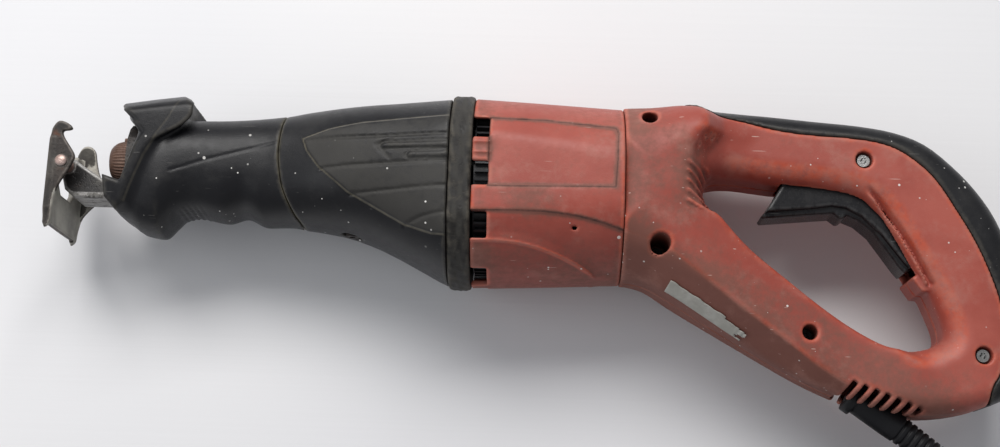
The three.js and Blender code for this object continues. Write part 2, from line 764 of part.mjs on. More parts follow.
function trigger() {
  const side = plate(outline(triggerLine), -triggerHalf, triggerHalf);
  const finger = plate(outline([
    [168, -2], [168.4, -7.6], [171.6, -10.9], [174.3, -9.4], [181, -11.6], [188, -17.5], [200.5, -35],
    [203, -37.6], [205, -36], [195, -15], [180, -5],
  ]), -triggerHalf + 3, triggerHalf - 3);
  const pivot = rodZ(triggerPivot[0], triggerPivot[1], -triggerHalf, triggerHalf, triggerPin, 16);
  const hollow = plate(outline([
    [147, 10], [142, -4], [165, -1.5], [178, -3.5], [186, -8], [190, -4], [181, 2], [170, 10],
  ]), triggerWall - triggerHalf, triggerHalf - triggerWall);
  return cut(join([side, finger, pivot]), [hollow]);
}

function switchBody() {
  const body = box([139, 17.6, -10], [171, 34, 10]);
  const plunge = rodY(150, 0, 14.6, 18, 3, 16);
  return body.add(plunge);
}

const beamTurn = -0.6;

function electronicsModule() {
  return turnedBox([128, -56, 0], [40, 18, 26], beamTurn);
}

function cordClamp() {
  return turnedBox([172, -80, 0], [12, 8, 24], beamTurn);
}

// ---- cord ----
function bootPoint(along) {
  return [bootFrom[0] + along * Math.cos(bootTurn), bootFrom[1] + along * Math.sin(bootTurn)];
}

function alongBoot(points) {
  const geometry = new THREE.LatheGeometry(points.map(([x, r]) => new THREE.Vector2(r, x)), 24);
  geometry.rotateZ(-Math.PI / 2 + bootTurn);
  geometry.translate(bootFrom[0], bootFrom[1], 0);
  return solid(geometry);
}

function bootCut() {
  const flange = bootFlange + 2 * gap;
  const neck = bootRadius + 0.7;
  return alongBoot([[-6, 0], [-6, flange], [5.6, flange], [5.6, neck], [bootLength, neck], [bootLength, 0]]);
}

function cordBoot() {
  return alongBoot([
    [0, 0], [0, bootFlange], [5, bootFlange], [5, bootRadius], [24, bootRadius - gap],
    [bootLength, bootTip], [bootLength, 0],
  ]);
}

const bootEnd = bootPoint(bootLength + gap);

// The run from the boot down to the coil, and the run from the coil to the plug.
const leadPoints = [
  [...bootEnd, 0], [230, -135.8, -0.3], [236, -140.9, -1.3], [241.2, -147.2, -3], [244.6, -155, -5.2],
  [246.4, -163, -7.6],
];
const tailPoints = [
  [152, -263.8, -40.2], [142, -263.8, -40.6], [130, -263.8, -40.7], [118, -263.8, -40], [106, -263.8, -37.6],
  [94, -263.8, -34], [82, -263.8, -30.4], [72, -263.8, -28.5], [60, -263.8, -28],
];
const tieThickness = coilLift - gap;

function cordRun(points) {
  const places = points.map((point) => new THREE.Vector3(...point));
  const path = new THREE.CatmullRomCurve3(places, false, 'centripetal');
  const section = new THREE.Shape();
  section.absarc(0, 0, cordRadius, 0, Math.PI * 2);
  const steps = Math.ceil(path.getLength() / (5 * cordRadius));
  const tube = { steps, curveSegments: 5, extrudePath: path, bevelEnabled: false };
  return solid(new THREE.ExtrudeGeometry(section, tube));
}

function cordCoil() {
  const low = floorZ + coilLift;
  const inner = coilRadius - coilHalfWidth;
  const outer = coilRadius + coilHalfWidth;
  const high = low + coilHeight;
  const profile = [[inner, low], [outer, low], [outer, high], [inner, high], [inner, low]];
  const geometry = new THREE.LatheGeometry(profile.map(([r, y]) => new THREE.Vector2(r, y)), 32);
  geometry.rotateX(Math.PI / 2);
  geometry.translate(coilMiddle[0], coilMiddle[1], 0);
  return solid(geometry);
}

function coilTie() {
  const inner = [coilRadius - coilHalfWidth - gap, coilRadius + coilHalfWidth + gap];
  const low = floorZ + tieThickness;
  const high = floorZ + coilLift + coilHeight + gap;
  const top = high + tieThickness;
  const around = box([-inner[1] - tieThickness, -3, floorZ], [-inner[0] + tieThickness, 3, top]);
  const inside = box([-inner[1], -4, low], [-inner[0], 4, high]);
  return cut(around, [inside]).translate([coilMiddle[0], coilMiddle[1], 0]);
}

const plugRear = tailPoints[tailPoints.length - 1][0] - gap;
const plugFace = plugRear - 44;

function plugBody() {
  const [, y, z] = tailPoints[tailPoints.length - 1];
  const body = latheX([
    [plugRear, 0], [plugRear, bootTip], [plugRear - 16, 7.6], [plugRear - 20, 13],
    [plugRear - 25, plugRadius],
    [plugFace, plugRadius], [plugFace, 0],
  ], 0, 28).translate([0, y, z]);
  return body;
}

function plugPin(side) {
  const [, y, z] = tailPoints[tailPoints.length - 1];
  const pin = rodX(plugFace - 19, plugFace - gap, plugPinRadius, 0, 14);
  return pin.translate([0, y + side * plugPinPlace, z]);
}

// ---- the pieces ----
addPiece('motor_housing', motorHousing(), redPlastic);
addPiece('air_guide', airGuide(), blackPlastic);
addPiece('collar_band', collarBand(), blackPlastic);
addPiece('gear_cover', gearCover(), blackRubber);
addPiece('gear_cover_screw', coverScrew(), brightSteel);
addPiece('front_grip', frontGrip(), blackRubber);
addPiece('gear_housing', gearHousing(), castAluminium);
addPiece('bearing_plate', bearingPlate(), castAluminium);
addPiece('plunger', plunger(), brightSteel);
addPiece('blade_clamp_sleeve', bladeClampSleeve(), rustySteel);
addPiece('plunger_bush_front', plungerBush(counterboreEnd + gap, counterboreEnd + gap + bushLength), bronze);
addPiece('plunger_bush_rear', plungerBush(chamberFront - 6 - bushLength, chamberFront - 6), bronze);
addPiece('plunger_seal', plungerSeal(), blackRubber);
addPiece('shoe', shoe(), rustySteel);
addPiece('shoe_rivet_left', shoeRivet(1), wornSteel);
addPiece('shoe_rivet_right', shoeRivet(-1), wornSteel);
addPiece('shoe_rail', shoeRail(), wornSteel);
addPiece('crank_gear', crankGear(), brightSteel);
addPiece('crank_roller', crankRoller(), brightSteel);
addPiece('crank_bearing', crankBearing(), brightSteel);
addPiece('armature_shaft', armatureShaft(), brightSteel);
addPiece('armature_core', armatureCore(), wornSteel);
addPiece('commutator', commutator(), copper);
addPiece('cooling_fan', coolingFan(), blackPlastic);
addPiece('front_bearing', ballBearing(plateFront, plateRear), brightSteel);
addPiece('rear_bearing', ballBearing(housingRear - spiderDepth, housingRear), brightSteel);
addPiece('stator_core', statorCore(), wornSteel);
addPiece('field_winding_front', fieldWinding(-8, -1 - gap), copper);
addPiece('field_winding_rear', fieldWinding(stackRear + 1 + gap, stackRear + 8), copper);
for (const [name, side] of [['upper', 1], ['lower', -1]]) {
  addPiece(`brush_holder_${name}`, brushHolder(side), bronze);
  addPiece(`carbon_brush_${name}`, carbonBrush(side), carbon);
}
addPiece('handle_shell_left', handleShell(1), redPlastic);
addPiece('handle_shell_right', handleShell(-1), redPlastic);
addPiece('soft_strip', softStrip(), blackRubber);
screwPlaces.forEach((place, i) => addPiece(`handle_screw_${i + 1}`, handleScrew(place), brightSteel));
addPiece('trigger', trigger(), blackPlastic);
addPiece('switch_body', switchBody(), blackPlastic);
addPiece('electronics_module', electronicsModule(), blackPlastic);
addPiece('cord_clamp', cordClamp(), blackPlastic);
const cordPieces = [
  addPiece('cord_boot', cordBoot(), blackRubber),
  addPiece('power_cord', cordRun(leadPoints), blackRubber),
  addPiece('power_cord_tail', cordRun(tailPoints), blackRubber),
  addPiece('cord_coil', cordCoil(), blackRubber),
  addPiece('coil_tie', coilTie(), blackPlastic),
  addPiece('plug_body', plugBody(), blackRubber),
  addPiece('plug_pin_upper', plugPin(1), brightSteel),
  addPiece('plug_pin_lower', plugPin(-1), brightSteel),
];

// The origin is under the middle of the saw itself, without its cord.
const bounds = new THREE.Box3();
saw.children.filter((piece) => !cordPieces.includes(piece)).forEach((piece) => bounds.expandByObject(piece));
saw.position.set(-(bounds.min.x + bounds.max.x) / 2, -(bounds.min.y + bounds.max.y) / 2, -floorZ);

export default saw;
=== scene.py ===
import math
import bpy
import numpy as np
from mathutils import Matrix, Vector


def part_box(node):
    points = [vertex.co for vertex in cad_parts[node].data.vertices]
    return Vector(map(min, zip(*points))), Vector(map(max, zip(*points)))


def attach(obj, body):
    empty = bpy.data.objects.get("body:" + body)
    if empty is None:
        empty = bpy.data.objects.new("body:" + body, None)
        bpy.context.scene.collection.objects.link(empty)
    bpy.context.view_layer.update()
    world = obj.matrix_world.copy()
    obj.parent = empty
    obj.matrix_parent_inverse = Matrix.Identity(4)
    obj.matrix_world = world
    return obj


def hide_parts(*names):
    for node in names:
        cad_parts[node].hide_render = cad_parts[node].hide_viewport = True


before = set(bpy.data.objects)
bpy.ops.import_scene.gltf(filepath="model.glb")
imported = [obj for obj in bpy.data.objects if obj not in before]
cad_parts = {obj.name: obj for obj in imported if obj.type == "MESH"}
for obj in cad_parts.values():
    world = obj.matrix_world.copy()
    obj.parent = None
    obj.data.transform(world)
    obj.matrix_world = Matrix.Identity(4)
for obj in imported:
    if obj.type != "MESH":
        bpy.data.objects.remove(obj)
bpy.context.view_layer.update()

# Sizes are millimetres from the motor axis at the front of the armature core, as the saw lies:
# x to the handle, y to the tool's top edge, z up out of its left side.
coreLow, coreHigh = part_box("armature_core")
origin = np.array([coreLow[0], (coreLow[1] + coreHigh[1]) / 2, (coreLow[2] + coreHigh[2]) / 2])


def metres(points):
    return np.asarray(points, dtype=float) / 1000 + origin


def steps(points, count, closed=False):
    # a smooth run through a few points
    given = np.asarray(points, dtype=float)
    if closed:
        ring = np.vstack([given[-1], given, given[:2]])
    else:
        ring = np.vstack([2 * given[0] - given[1], given, 2 * given[-1] - given[-2]])
    out = []
    for a, b, c, d in zip(ring[:-3], ring[1:-2], ring[2:-1], ring[3:]):
        for t in np.arange(count) / count:
            out.append(0.5 * (2 * b + (c - a) * t + (2 * a - 5 * b + 4 * c - d) * t ** 2
                              + (3 * b - a - 3 * c + d) * t ** 3))
    if not closed:
        out.append(given[-1])
    return np.array(out)


def added(name, data):
    made = bpy.data.objects.new(name, data)
    bpy.context.scene.collection.objects.link(made)
    return made


# Camera
view = {
    "lens": 54,
    "place": (0.00485, -0.15971, 0.79306),
    "right": (0.99929, 0.03241, -0.01937),
    "up": (-0.02721, 0.97385, 0.22556),
}
cameraData = bpy.data.cameras.new("camera")
cameraData.lens = view["lens"]
cameraData.sensor_width = 36
cameraData.clip_end = 20
camera = added("camera", cameraData)
right, up = Vector(view["right"]), Vector(view["up"])
turn = Matrix((right, up, right.cross(up))).transposed().to_4x4()
camera.matrix_world = Matrix.Translation(view["place"]) @ turn
bpy.context.scene.camera = camera
print("camera")


# Materials
class Shade:
    # one output socket of a material, so that numbers and masks can be written as sums

    def __init__(self, tree, socket=None):
        self.tree = tree
        self.socket = socket

    def node(self, kind, settings=None, inputs=None, output=0):
        made = self.tree.nodes.new(kind)
        for key, value in (settings or {}).items():
            setattr(made, key, value)
        for key, value in (inputs or {}).items():
            if isinstance(value, Shade):
                self.tree.links.new(value.socket, made.inputs[key])
            else:
                made.inputs[key].default_value = value
        return Shade(self.tree, made.outputs[output])

    def math(self, operation, a, b=0.0):
        return self.node("ShaderNodeMath", {"operation": operation}, {0: a, 1: b})

    def __add__(self, other):
        return self.math("ADD", self, other)

    def __sub__(self, other):
        return self.math("SUBTRACT", self, other)

    def __rsub__(self, other):
        return self.math("SUBTRACT", other, self)

    def __mul__(self, other):
        return self.math("MULTIPLY", self, other)

    def above(self, other):
        return self.math("GREATER_THAN", self, other)

    def larger(self, other):
        return self.math("MAXIMUM", self, other)

    def ramp(self, low, high):
        # 0 below low, 1 above high, smooth between; low may be the larger one
        return self.node("ShaderNodeMapRange", {"interpolation_type": "SMOOTHSTEP"},
                         {0: self, 1: low, 2: high, 3: 0.0, 4: 1.0})

    def mix(self, a, b):
        colours = {}
        for key, value in ((6, a), (7, b)):
            colours[key] = value if isinstance(value, Shade) else (*value, 1.0)
        return self.node("ShaderNodeMix", {"data_type": "RGBA"}, {0: self, **colours}, output=2)

    def noise(self, scale, detail=4.0, roughness=0.55):
        return self.node("ShaderNodeTexNoise", None,
                         {"Vector": self, "Scale": scale, "Detail": detail, "Roughness": roughness})

    def stretched(self, turn, scale):
        return self.node("ShaderNodeMapping", None, {0: self, 2: turn, 3: scale})

    def attribute(self, name):
        return self.node("ShaderNodeAttribute", {"attribute_name": name}, None, output=2)

    def bump(self, height, strength, distance):
        inputs = {"Height": height, "Strength": strength, "Distance": distance}
        return self.node("ShaderNodeBump", None, inputs)


def specks(place, scale, radius, share):
    # round drops of different sizes in some of the cells
    cells, random = (place.node("ShaderNodeTexVoronoi", None, {"Vector": place, "Scale": scale}, output=k)
                     for k in (0, 1))
    parts = place.node("ShaderNodeSeparateColor", None, {0: random})
    size = place.node("ShaderNodeSeparateColor", None, {0: random}, output=1)
    reach = size * size * radius + radius * 0.3
    return (cells - reach).ramp(0.015, -0.015) * parts.above(1 - share)


def scratches(place, turn, size, amount):
    # short thin cuts along one direction, as stretched drops
    laid = place.stretched(turn, (size * 0.045, size, size))
    patches = place.noise(size * 0.1, 2.0).ramp(0.42, 0.56)
    return specks(laid, 1.0, 0.085, amount) * patches


def material(name, look):
    made = bpy.data.materials.new(name)
    made.use_nodes = True
    made.diffuse_color = (*look["colour"], 1)
    tree = made.node_tree
    shader = tree.nodes["Principled BSDF"]
    start = Shade(tree)
    place = start.node("ShaderNodeTexCoord", None, None, output=3)
    wearAndHighlight = start.attribute("wearAndHighlight")
    grimeAndShade = start.attribute("grimeAndShade")
    line = start.attribute("line")

    broad = place.noise(look.get("broad", 22), 5.0, 0.6)
    fine = place.noise(260, 5.0, 0.65)
    grain = place.noise(look["grain"], 2.0)
    colour = broad.ramp(0.38, 0.66).mix(look["colour"], look["second"])
    # this edge mark is real wear on rounded edges and, on some pieces, painted highlights and a painted
    # reflection; it lightens the colour there
    colour = (wearAndHighlight.ramp(0.12, 0.6) * look["edgeShare"] * fine.ramp(0.3, 0.6)).mix(colour, look["edge"])
    # the dirt follows the grime mark; below zero it clears dirt, which on the trigger stands for painted
    # shade
    dirt = (broad * 0.6 + fine * 0.5 + grimeAndShade * 0.75 - wearAndHighlight * 0.35).ramp(look["dirtFrom"], look["dirtTo"])
    dirt = dirt * look["dirtShare"]
    colour = dirt.mix(colour, look["dirt"])
    dust = (place.noise(look["dustScale"], 6.0, 0.7) + wearAndHighlight * 0.25).ramp(0.5, 0.78) * look["dustShare"]
    colour = dust.mix(colour, look["dust"])
    seams = line.ramp(0.15, 0.8) * (fine * 1.6 - 0.1) * look.get("lineShare", 0.0)
    colour = seams.node("ShaderNodeClamp", None, {0: seams}).mix(colour, look.get("lineColour", look["dirt"]))
    cuts = scratches(place, (0.3, 0.2, 0.95), look["scratchScale"], look["scratchAmount"])
    for turn, share in (((0.2, 0.4, -0.65), 0.8), ((0.9, 0.1, 2.3), 1.2), ((0.0, 0.1, 0.1), 0.9)):
        cuts = cuts.larger(scratches(place, turn, look["scratchScale"] * share, look["scratchAmount"]))
    # scratches fade where the grime mark is well below zero, part of the trigger's painted shade
    cuts = cuts * grimeAndShade.ramp(-0.8, -0.25)
    colour = (cuts * look["scratchShare"]).mix(colour, look["scratch"])
    if look.get("paintShare"):
        paintOn = specks(place, 135.0, 0.11, look["paintShare"])
        paintOn = paintOn.larger(specks(place, 300.0, 0.15, look["paintShare"]))
        splash = start.attribute("splash").larger(place.noise(14.0, 2.0).ramp(0.44, 0.6) * 0.8)
        paintOn = paintOn * splash
        colour = paintOn.mix(colour, (0.78, 0.76, 0.72))
    tree.links.new(colour.socket, shader.inputs["Base Color"])

    rough = fine * 0.25 + dirt * 0.22 + dust * 0.2 + grimeAndShade * 0.1 + look["roughness"] - 0.12
    rough = rough - cuts * 0.08
    rough = rough.node("ShaderNodeClamp", None, {0: rough, 1: 0.08, 2: 0.95})
    tree.links.new(rough.socket, shader.inputs["Roughness"])
    height = grain * look.get("grainHeight", 0.5) + fine * 0.6 - cuts * 1.2 + dirt * 0.4 - line * 0.8
    if look.get("paintShare"):
        height = height + paintOn * 1.5
    if look.get("pits"):
        height = height - place.noise(520.0, 3.0, 0.7).ramp(0.52, 0.7) * look["pits"]
    normal = start.bump(height, look["bump"], 0.0004)
    tree.links.new(normal.socket, shader.inputs["Normal"])
    if look.get("metal"):
        metal = 1 - (dirt * 0.9).larger(dust * 0.8)
        tree.links.new((metal * look["metal"]).socket, shader.inputs["Metallic"])
    shader.inputs["Specular IOR Level"].default_value = look.get("specular", 0.5)
    return made


plasticWear = {
    "colour": (0.3, 0.058, 0.04), "second": (0.37, 0.084, 0.06), "edge": (0.46, 0.075, 0.035),
    "edgeShare": 0.9,
    "dirt": (0.125, 0.072, 0.053), "dirtFrom": 0.5, "dirtTo": 0.88, "dirtShare": 0.66, "lineShare": 0.9,
    "lineColour": (0.035, 0.016, 0.013), "dust": (0.4, 0.2, 0.16), "dustShare": 0.4, "dustScale": 55,
    "scratch": (0.62, 0.44, 0.38), "scratchScale": 400, "scratchAmount": 0.5, "scratchShare": 0.6,
    "paintShare": 0.17, "roughness": 0.47, "grain": 2400, "grainHeight": 0.45, "bump": 0.3, "specular": 0.4,
}
rubberWear = {
    "colour": (0.008, 0.008, 0.0095), "second": (0.013, 0.013, 0.0145), "edge": (0.06, 0.055, 0.045),
    "edgeShare": 0.55, "dirt": (0.055, 0.052, 0.046), "dirtFrom": 0.6, "dirtTo": 1.05, "dirtShare": 0.6,
    "lineShare": 0.8, "lineColour": (0.14, 0.125, 0.09), "dust": (0.06, 0.058, 0.054), "dustShare": 0.2,
    "dustScale": 50, "scratch": (0.13, 0.125, 0.115), "scratchScale": 440, "scratchAmount": 0.35,
    "scratchShare": 0.4, "paintShare": 0.22, "roughness": 0.36, "grain": 2600, "grainHeight": 0.6,
    "bump": 0.32, "specular": 0.26,
}
collarWear = {**rubberWear, "colour": (0.014, 0.013, 0.012), "second": (0.022, 0.02, 0.018), "dustShare": 0.6,
              "dust": (0.1, 0.088, 0.07), "dirtShare": 0.6, "roughness": 0.5, "pits": 1.2, "paintShare": 0.1,
              "dustScale": 130}
triggerWear = {**rubberWear, "colour": (0.007, 0.007, 0.008), "edge": (0.07, 0.07, 0.07), "scratchShare": 0.6,
               "scratchAmount": 0.9, "scratchScale": 520, "scratch": (0.2, 0.2, 0.19), "paintShare": 0.03,
               "roughness": 0.26, "dustShare": 0.12, "dirtShare": 0.3}
darkPlastic = {**rubberWear, "paintShare": 0.0, "dustShare": 0.4}
cordRubber = {**rubberWear, "paintShare": 0.05, "roughness": 0.42, "dustShare": 0.3}
rustySteel = {
    "colour": (0.014, 0.012, 0.011), "second": (0.032, 0.024, 0.02), "edge": (0.2, 0.17, 0.15),
    "edgeShare": 0.55,
    "dirt": (0.11, 0.042, 0.022), "dirtFrom": 0.72, "dirtTo": 1.0, "dirtShare": 0.8, "broad": 60,
    "dust": (0.3, 0.28, 0.24), "dustShare": 0.18, "dustScale": 45, "scratch": (0.34, 0.32, 0.3),
    "scratchScale": 480, "scratchAmount": 0.4, "scratchShare": 0.35, "paintShare": 0.1, "roughness": 0.48,
    "metal": 0.35, "pits": 0.8, "bump": 0.5, "grain": 1500,
}
dustySteel = {**rustySteel, "colour": (0.3, 0.285, 0.25), "second": (0.5, 0.48, 0.42),
              "dirt": (0.02, 0.017, 0.015),
              "dirtFrom": 0.56, "dirtTo": 0.66, "dirtShare": 0.95, "metal": 0.1, "roughness": 0.6}
blackCast = {**rustySteel, "colour": (0.012, 0.012, 0.012), "dirt": (0.05, 0.04, 0.03), "dustShare": 0.2}
darkRail = {**rustySteel, "colour": (0.016, 0.015, 0.015), "second": (0.035, 0.032, 0.03), "dirtShare": 0.5,
            "edge": (0.36, 0.35, 0.34), "edgeShare": 0.9, "dustShare": 0.2, "roughness": 0.38}
rustBrown = {**rustySteel, "colour": (0.085, 0.042, 0.027), "second": (0.15, 0.08, 0.052),
             "dirt": (0.09, 0.04, 0.024),
             "edge": (0.26, 0.17, 0.13), "dust": (0.2, 0.13, 0.1), "dustShare": 0.35, "metal": 0.35}
wornSteel = {**rustySteel, "colour": (0.24, 0.23, 0.22), "second": (0.34, 0.33, 0.31),
             "edge": (0.6, 0.59, 0.57),
             "dirt": (0.05, 0.04, 0.033), "dirtFrom": 0.6, "dirtTo": 1.0, "dirtShare": 0.85,
             "roughness": 0.42,
             "metal": 0.85, "dustShare": 0.25, "paintShare": 0.0}
rivetPink = {**wornSteel, "colour": (0.42, 0.25, 0.21), "second": (0.5, 0.36, 0.32), "dirtShare": 0.6,
             "metal": 0.7}
brightSteel = {**wornSteel, "colour": (0.5, 0.5, 0.5), "second": (0.6, 0.6, 0.59), "dirtShare": 0.35,
               "roughness": 0.3, "pits": 0.0, "metal": 1.0, "dustShare": 0.1}
screwSteel = {**brightSteel, "colour": (0.26, 0.26, 0.25), "second": (0.4, 0.4, 0.39), "dirtShare": 0.8,
              "roughness": 0.38}
castAlloy = {**wornSteel, "colour": (0.4, 0.4, 0.4), "second": (0.48, 0.48, 0.47), "dirtShare": 0.4,
             "pits": 0.6,
             "metal": 0.9, "roughness": 0.5}
bronze = {**brightSteel, "colour": (0.42, 0.26, 0.1), "second": (0.5, 0.32, 0.14), "pits": 0.5}
copper = {**brightSteel, "colour": (0.5, 0.2, 0.1), "second": (0.58, 0.27, 0.15)}
carbon = {**darkPlastic, "colour": (0.01, 0.01, 0.01), "roughness": 0.6}
labelFoil = {**brightSteel, "colour": (0.36, 0.35, 0.31), "second": (0.5, 0.49, 0.45),
             "dirt": (0.24, 0.2, 0.17),
             "dirtFrom": 0.5, "dirtTo": 0.85, "dirtShare": 0.8, "metal": 0.2, "roughness": 0.5,
             "scratchAmount": 0.6, "scratchShare": 0.6, "dustShare": 0.4}
finishes = {name: material(name, look) for name, look in {
    "worn_red_plastic": plasticWear, "worn_rubber": rubberWear, "collar_rubber": collarWear,
    "trigger_plastic": triggerWear, "dark_plastic": darkPlastic, "cord_rubber": cordRubber,
    "rusty_steel": rustySteel, "rust_brown": rustBrown, "worn_steel": wornSteel, "rivet_steel": rivetPink,
    "bright_steel": brightSteel, "screw_steel": screwSteel, "cast_alloy": castAlloy,
    "dusty_steel": dustySteel, "black_cast": blackCast, "dark_rail": darkRail, "bronze": bronze,
    "copper": copper, "carbon": carbon, "label_foil": labelFoil}.items()}
print("materials", len(finishes))


# Shapes as distance fields
def smoothAt(x, knots, values):
    # a smooth run through the values that never overshoots them
    knots, values = np.asarray(knots, float), np.asarray(values, float)
    gaps = np.diff(knots)
    slopes = np.diff(values) / gaps
    ends = np.concatenate([[slopes[0]], np.zeros(len(knots) - 2), [slopes[-1]]])
    same = slopes[:-1] * slopes[1:] > 0
    ends[1:-1][same] = 2 / (1 / slopes[:-1][same] + 1 / slopes[1:][same])
    at = np.clip(np.searchsorted(knots, x) - 1, 0, len(knots) - 2)
    t = np.clip((x - knots[at]) / gaps[at], 0, 1)
    h = gaps[at]
    return (values[at] * (1 + 2 * t) * (1 - t) ** 2 + h * ends[at] * t * (1 - t) ** 2
            + values[at + 1] * t * t * (3 - 2 * t) + h * ends[at + 1] * t * t * (t - 1))


def ramp(d, low, high):
    t = np.clip((d - low) / (high - low), 0, 1)
    return t * t * (3 - 2 * t)


def joined(a, b, blend=0.001):
    h = np.clip(0.5 + 0.5 * (b - a) / blend, 0, 1)
    return b + (a - b) * h - blend * h * (1 - h)


def common(a, b, radius=0.001):
    # where both are, with the edge between them rounded
    return np.minimum(np.maximum(a, b) + radius, 0) + np.hypot(
        np.maximum(a + radius, 0), np.maximum(b + radius, 0)) - radius


def cutOut(whole, tool, radius=0.3):
    return common(whole, -tool, radius)


def block(x, y, z, low, high, radius=0.4):
    middle, half = (np.array(low) + high) / 2, (np.array(high) - low) / 2 - radius
    dx, dy, dz = abs(x - middle[0]) - half[0], abs(y - middle[1]) - half[1], abs(z - middle[2]) - half[2]
    outside = np.sqrt(np.maximum(dx, 0) ** 2 + np.maximum(dy, 0) ** 2 + np.maximum(dz, 0) ** 2)
    return outside + np.minimum(np.maximum(dx, np.maximum(dy, dz)), 0) - radius


def loft(x, y, z, stations, power=2.5, flat=None, inset=0.0):
    rows = np.array(stations)
    top, bottom, half = (smoothAt(x, rows[:, 0], rows[:, k]) for k in (1, 2, 3))
    tall = (top - bottom) / 2 - inset
    broad = half - inset
    reach = (np.abs((y - (top + bottom) / 2) / tall) ** power + np.abs(z / broad) ** power) ** (1 / power)
    field = (reach - 1) * np.minimum(tall, broad)
    return field if flat is None else common(field, abs(z) - flat + inset, 2.0)


def segments(x, y, points):
    for (ax, ay), (bx, by) in zip(points[:-1], points[1:]):
        ex, ey = bx - ax, by - ay
        t = np.clip(((x - ax) * ex + (y - ay) * ey) / (ex * ex + ey * ey), 0, 1)
        yield (x - ax - ex * t) ** 2 + (y - ay - ey * t) ** 2, ex * (y - ay) - ey * (x - ax), (ax, ay, bx, by)


def region(x, y, points):
    # distance to a closed outline, negative inside
    ring = np.vstack([points, points[:1]])
    best = np.full(np.broadcast(x, y).shape, 1e9)
    inside = np.zeros(best.shape, bool)
    for squared, _, (ax, ay, bx, by) in segments(x, y, ring):
        best = np.minimum(best, squared)
        if ay != by:
            inside ^= ((ay > y) != (by > y)) & (x < (bx - ax) * (y - ay) / (by - ay) + ax)
    return np.where(inside, -1.0, 1.0) * np.sqrt(best)


def path(x, y, points):
    # distance to an open line, positive on its left
    best = np.full(np.broadcast(x, y).shape, 1e9)
    side = np.ones(best.shape)
    for squared, cross, _ in segments(x, y, points):
        side = np.where(squared < best - 1e-6, np.sign(cross), side)
        best = np.minimum(best, squared)
    return side * np.sqrt(best)


def rod(a, b, radius):
    return np.hypot(a, b) - radius


# Fields made into meshes
flatSide = 45  # half the body's thickness, where it lies on the floor
corners = [(i, j, k) for i in (0, 1) for j in (0, 1) for k in (0, 1)]
cellEdges = [(a, b) for a in corners for b in corners if a < b and sum(abs(np.subtract(a, b))) == 1]


def netSurface(field):
    inside = field < 0
    wide, high, deep = np.array(inside.shape) - 1
    count = sum(inside[i:wide + i, j:high + j, k:deep + k].astype(np.int8) for i, j, k in corners)
    mixed = (count > 0) & (count < 8)
    index = np.full(mixed.shape, -1)
    cells = np.argwhere(mixed)
    index[mixed] = np.arange(len(cells))
    total, hits = np.zeros((len(cells), 3)), np.zeros(len(cells))
    for a, b in cellEdges:
        low, high = field[tuple((cells + a).T)], field[tuple((cells + b).T)]
        crossed = (low < 0) != (high < 0)
        share = (low / np.where(crossed, low - high, 1))[:, None]
        total += np.where(crossed[:, None], np.array(a) + share * np.subtract(b, a), 0)
        hits += crossed
    points = cells + total / hits[:, None]
    quads = []
    for axis in range(3):
        u, v = np.eye(3, dtype=int)[(axis + 1) % 3], np.eye(3, dtype=int)[(axis + 2) % 3]
        first = [slice(1, -1)] * 3
        first[axis] = slice(0, -1)
        second = list(first)
        second[axis] = slice(1, None)
        lower, upper = inside[tuple(first)], inside[tuple(second)]
        start = np.argwhere(lower != upper)
        outward = lower[tuple(start.T)]
        start = start + [0 if k == axis else 1 for k in range(3)]
        ring = np.stack([index[tuple((start - shift).T)] for shift in (0 * u, u, u + v, v)], 1)
        quads.append(np.where(outward[:, None], ring, ring[:, ::-1]))
    return points, np.vstack(quads)


def sample(field, points):
    base = np.clip(np.floor(points).astype(int), 0, np.array(field.shape) - 2)
    part = points - base
    out = np.zeros(len(points))
    for i, j, k in corners:
        weight = np.ones(len(points))
        for axis, far in enumerate((i, j, k)):
            weight = weight * (part[:, axis] if far else 1 - part[:, axis])
        out += weight * field[base[:, 0] + i, base[:, 1] + j, base[:, 2] + k]
    return out


def gradient(field, points):
    return np.stack([sample(field, points + step) - sample(field, points - step)
                     for step in np.eye(3) * 0.5], 1)


def neighbourMean(values, quads):
    total, hits = np.zeros_like(values), np.zeros(len(values))
    for k in range(4):
        a, b = quads[:, k], quads[:, (k + 1) % 4]
        for here, there in ((a, b), (b, a)):
            hits += np.bincount(here, minlength=len(values))
            for axis in range(values.shape[1]):
                total[:, axis] += np.bincount(here, values[there, axis], minlength=len(values))
    return total / hits[:, None]


def meshPiece(name, points, faces, finish, marks=None):
    # points in millimetres
    mesh = bpy.data.meshes.new(name)
    mesh.from_pydata(metres(points).tolist(), [], faces if isinstance(faces, list) else faces.tolist())
    mesh.polygons.foreach_set("use_smooth", [True] * len(mesh.polygons))
    for key, values in (marks or {}).items():
        layer = mesh.attributes.new(key, "FLOAT", "POINT")
        layer.data.foreach_set("value", np.asarray(values, np.float32))
    mesh.materials.append(finishes[finish])
    mesh.update()
    return added(name, mesh)


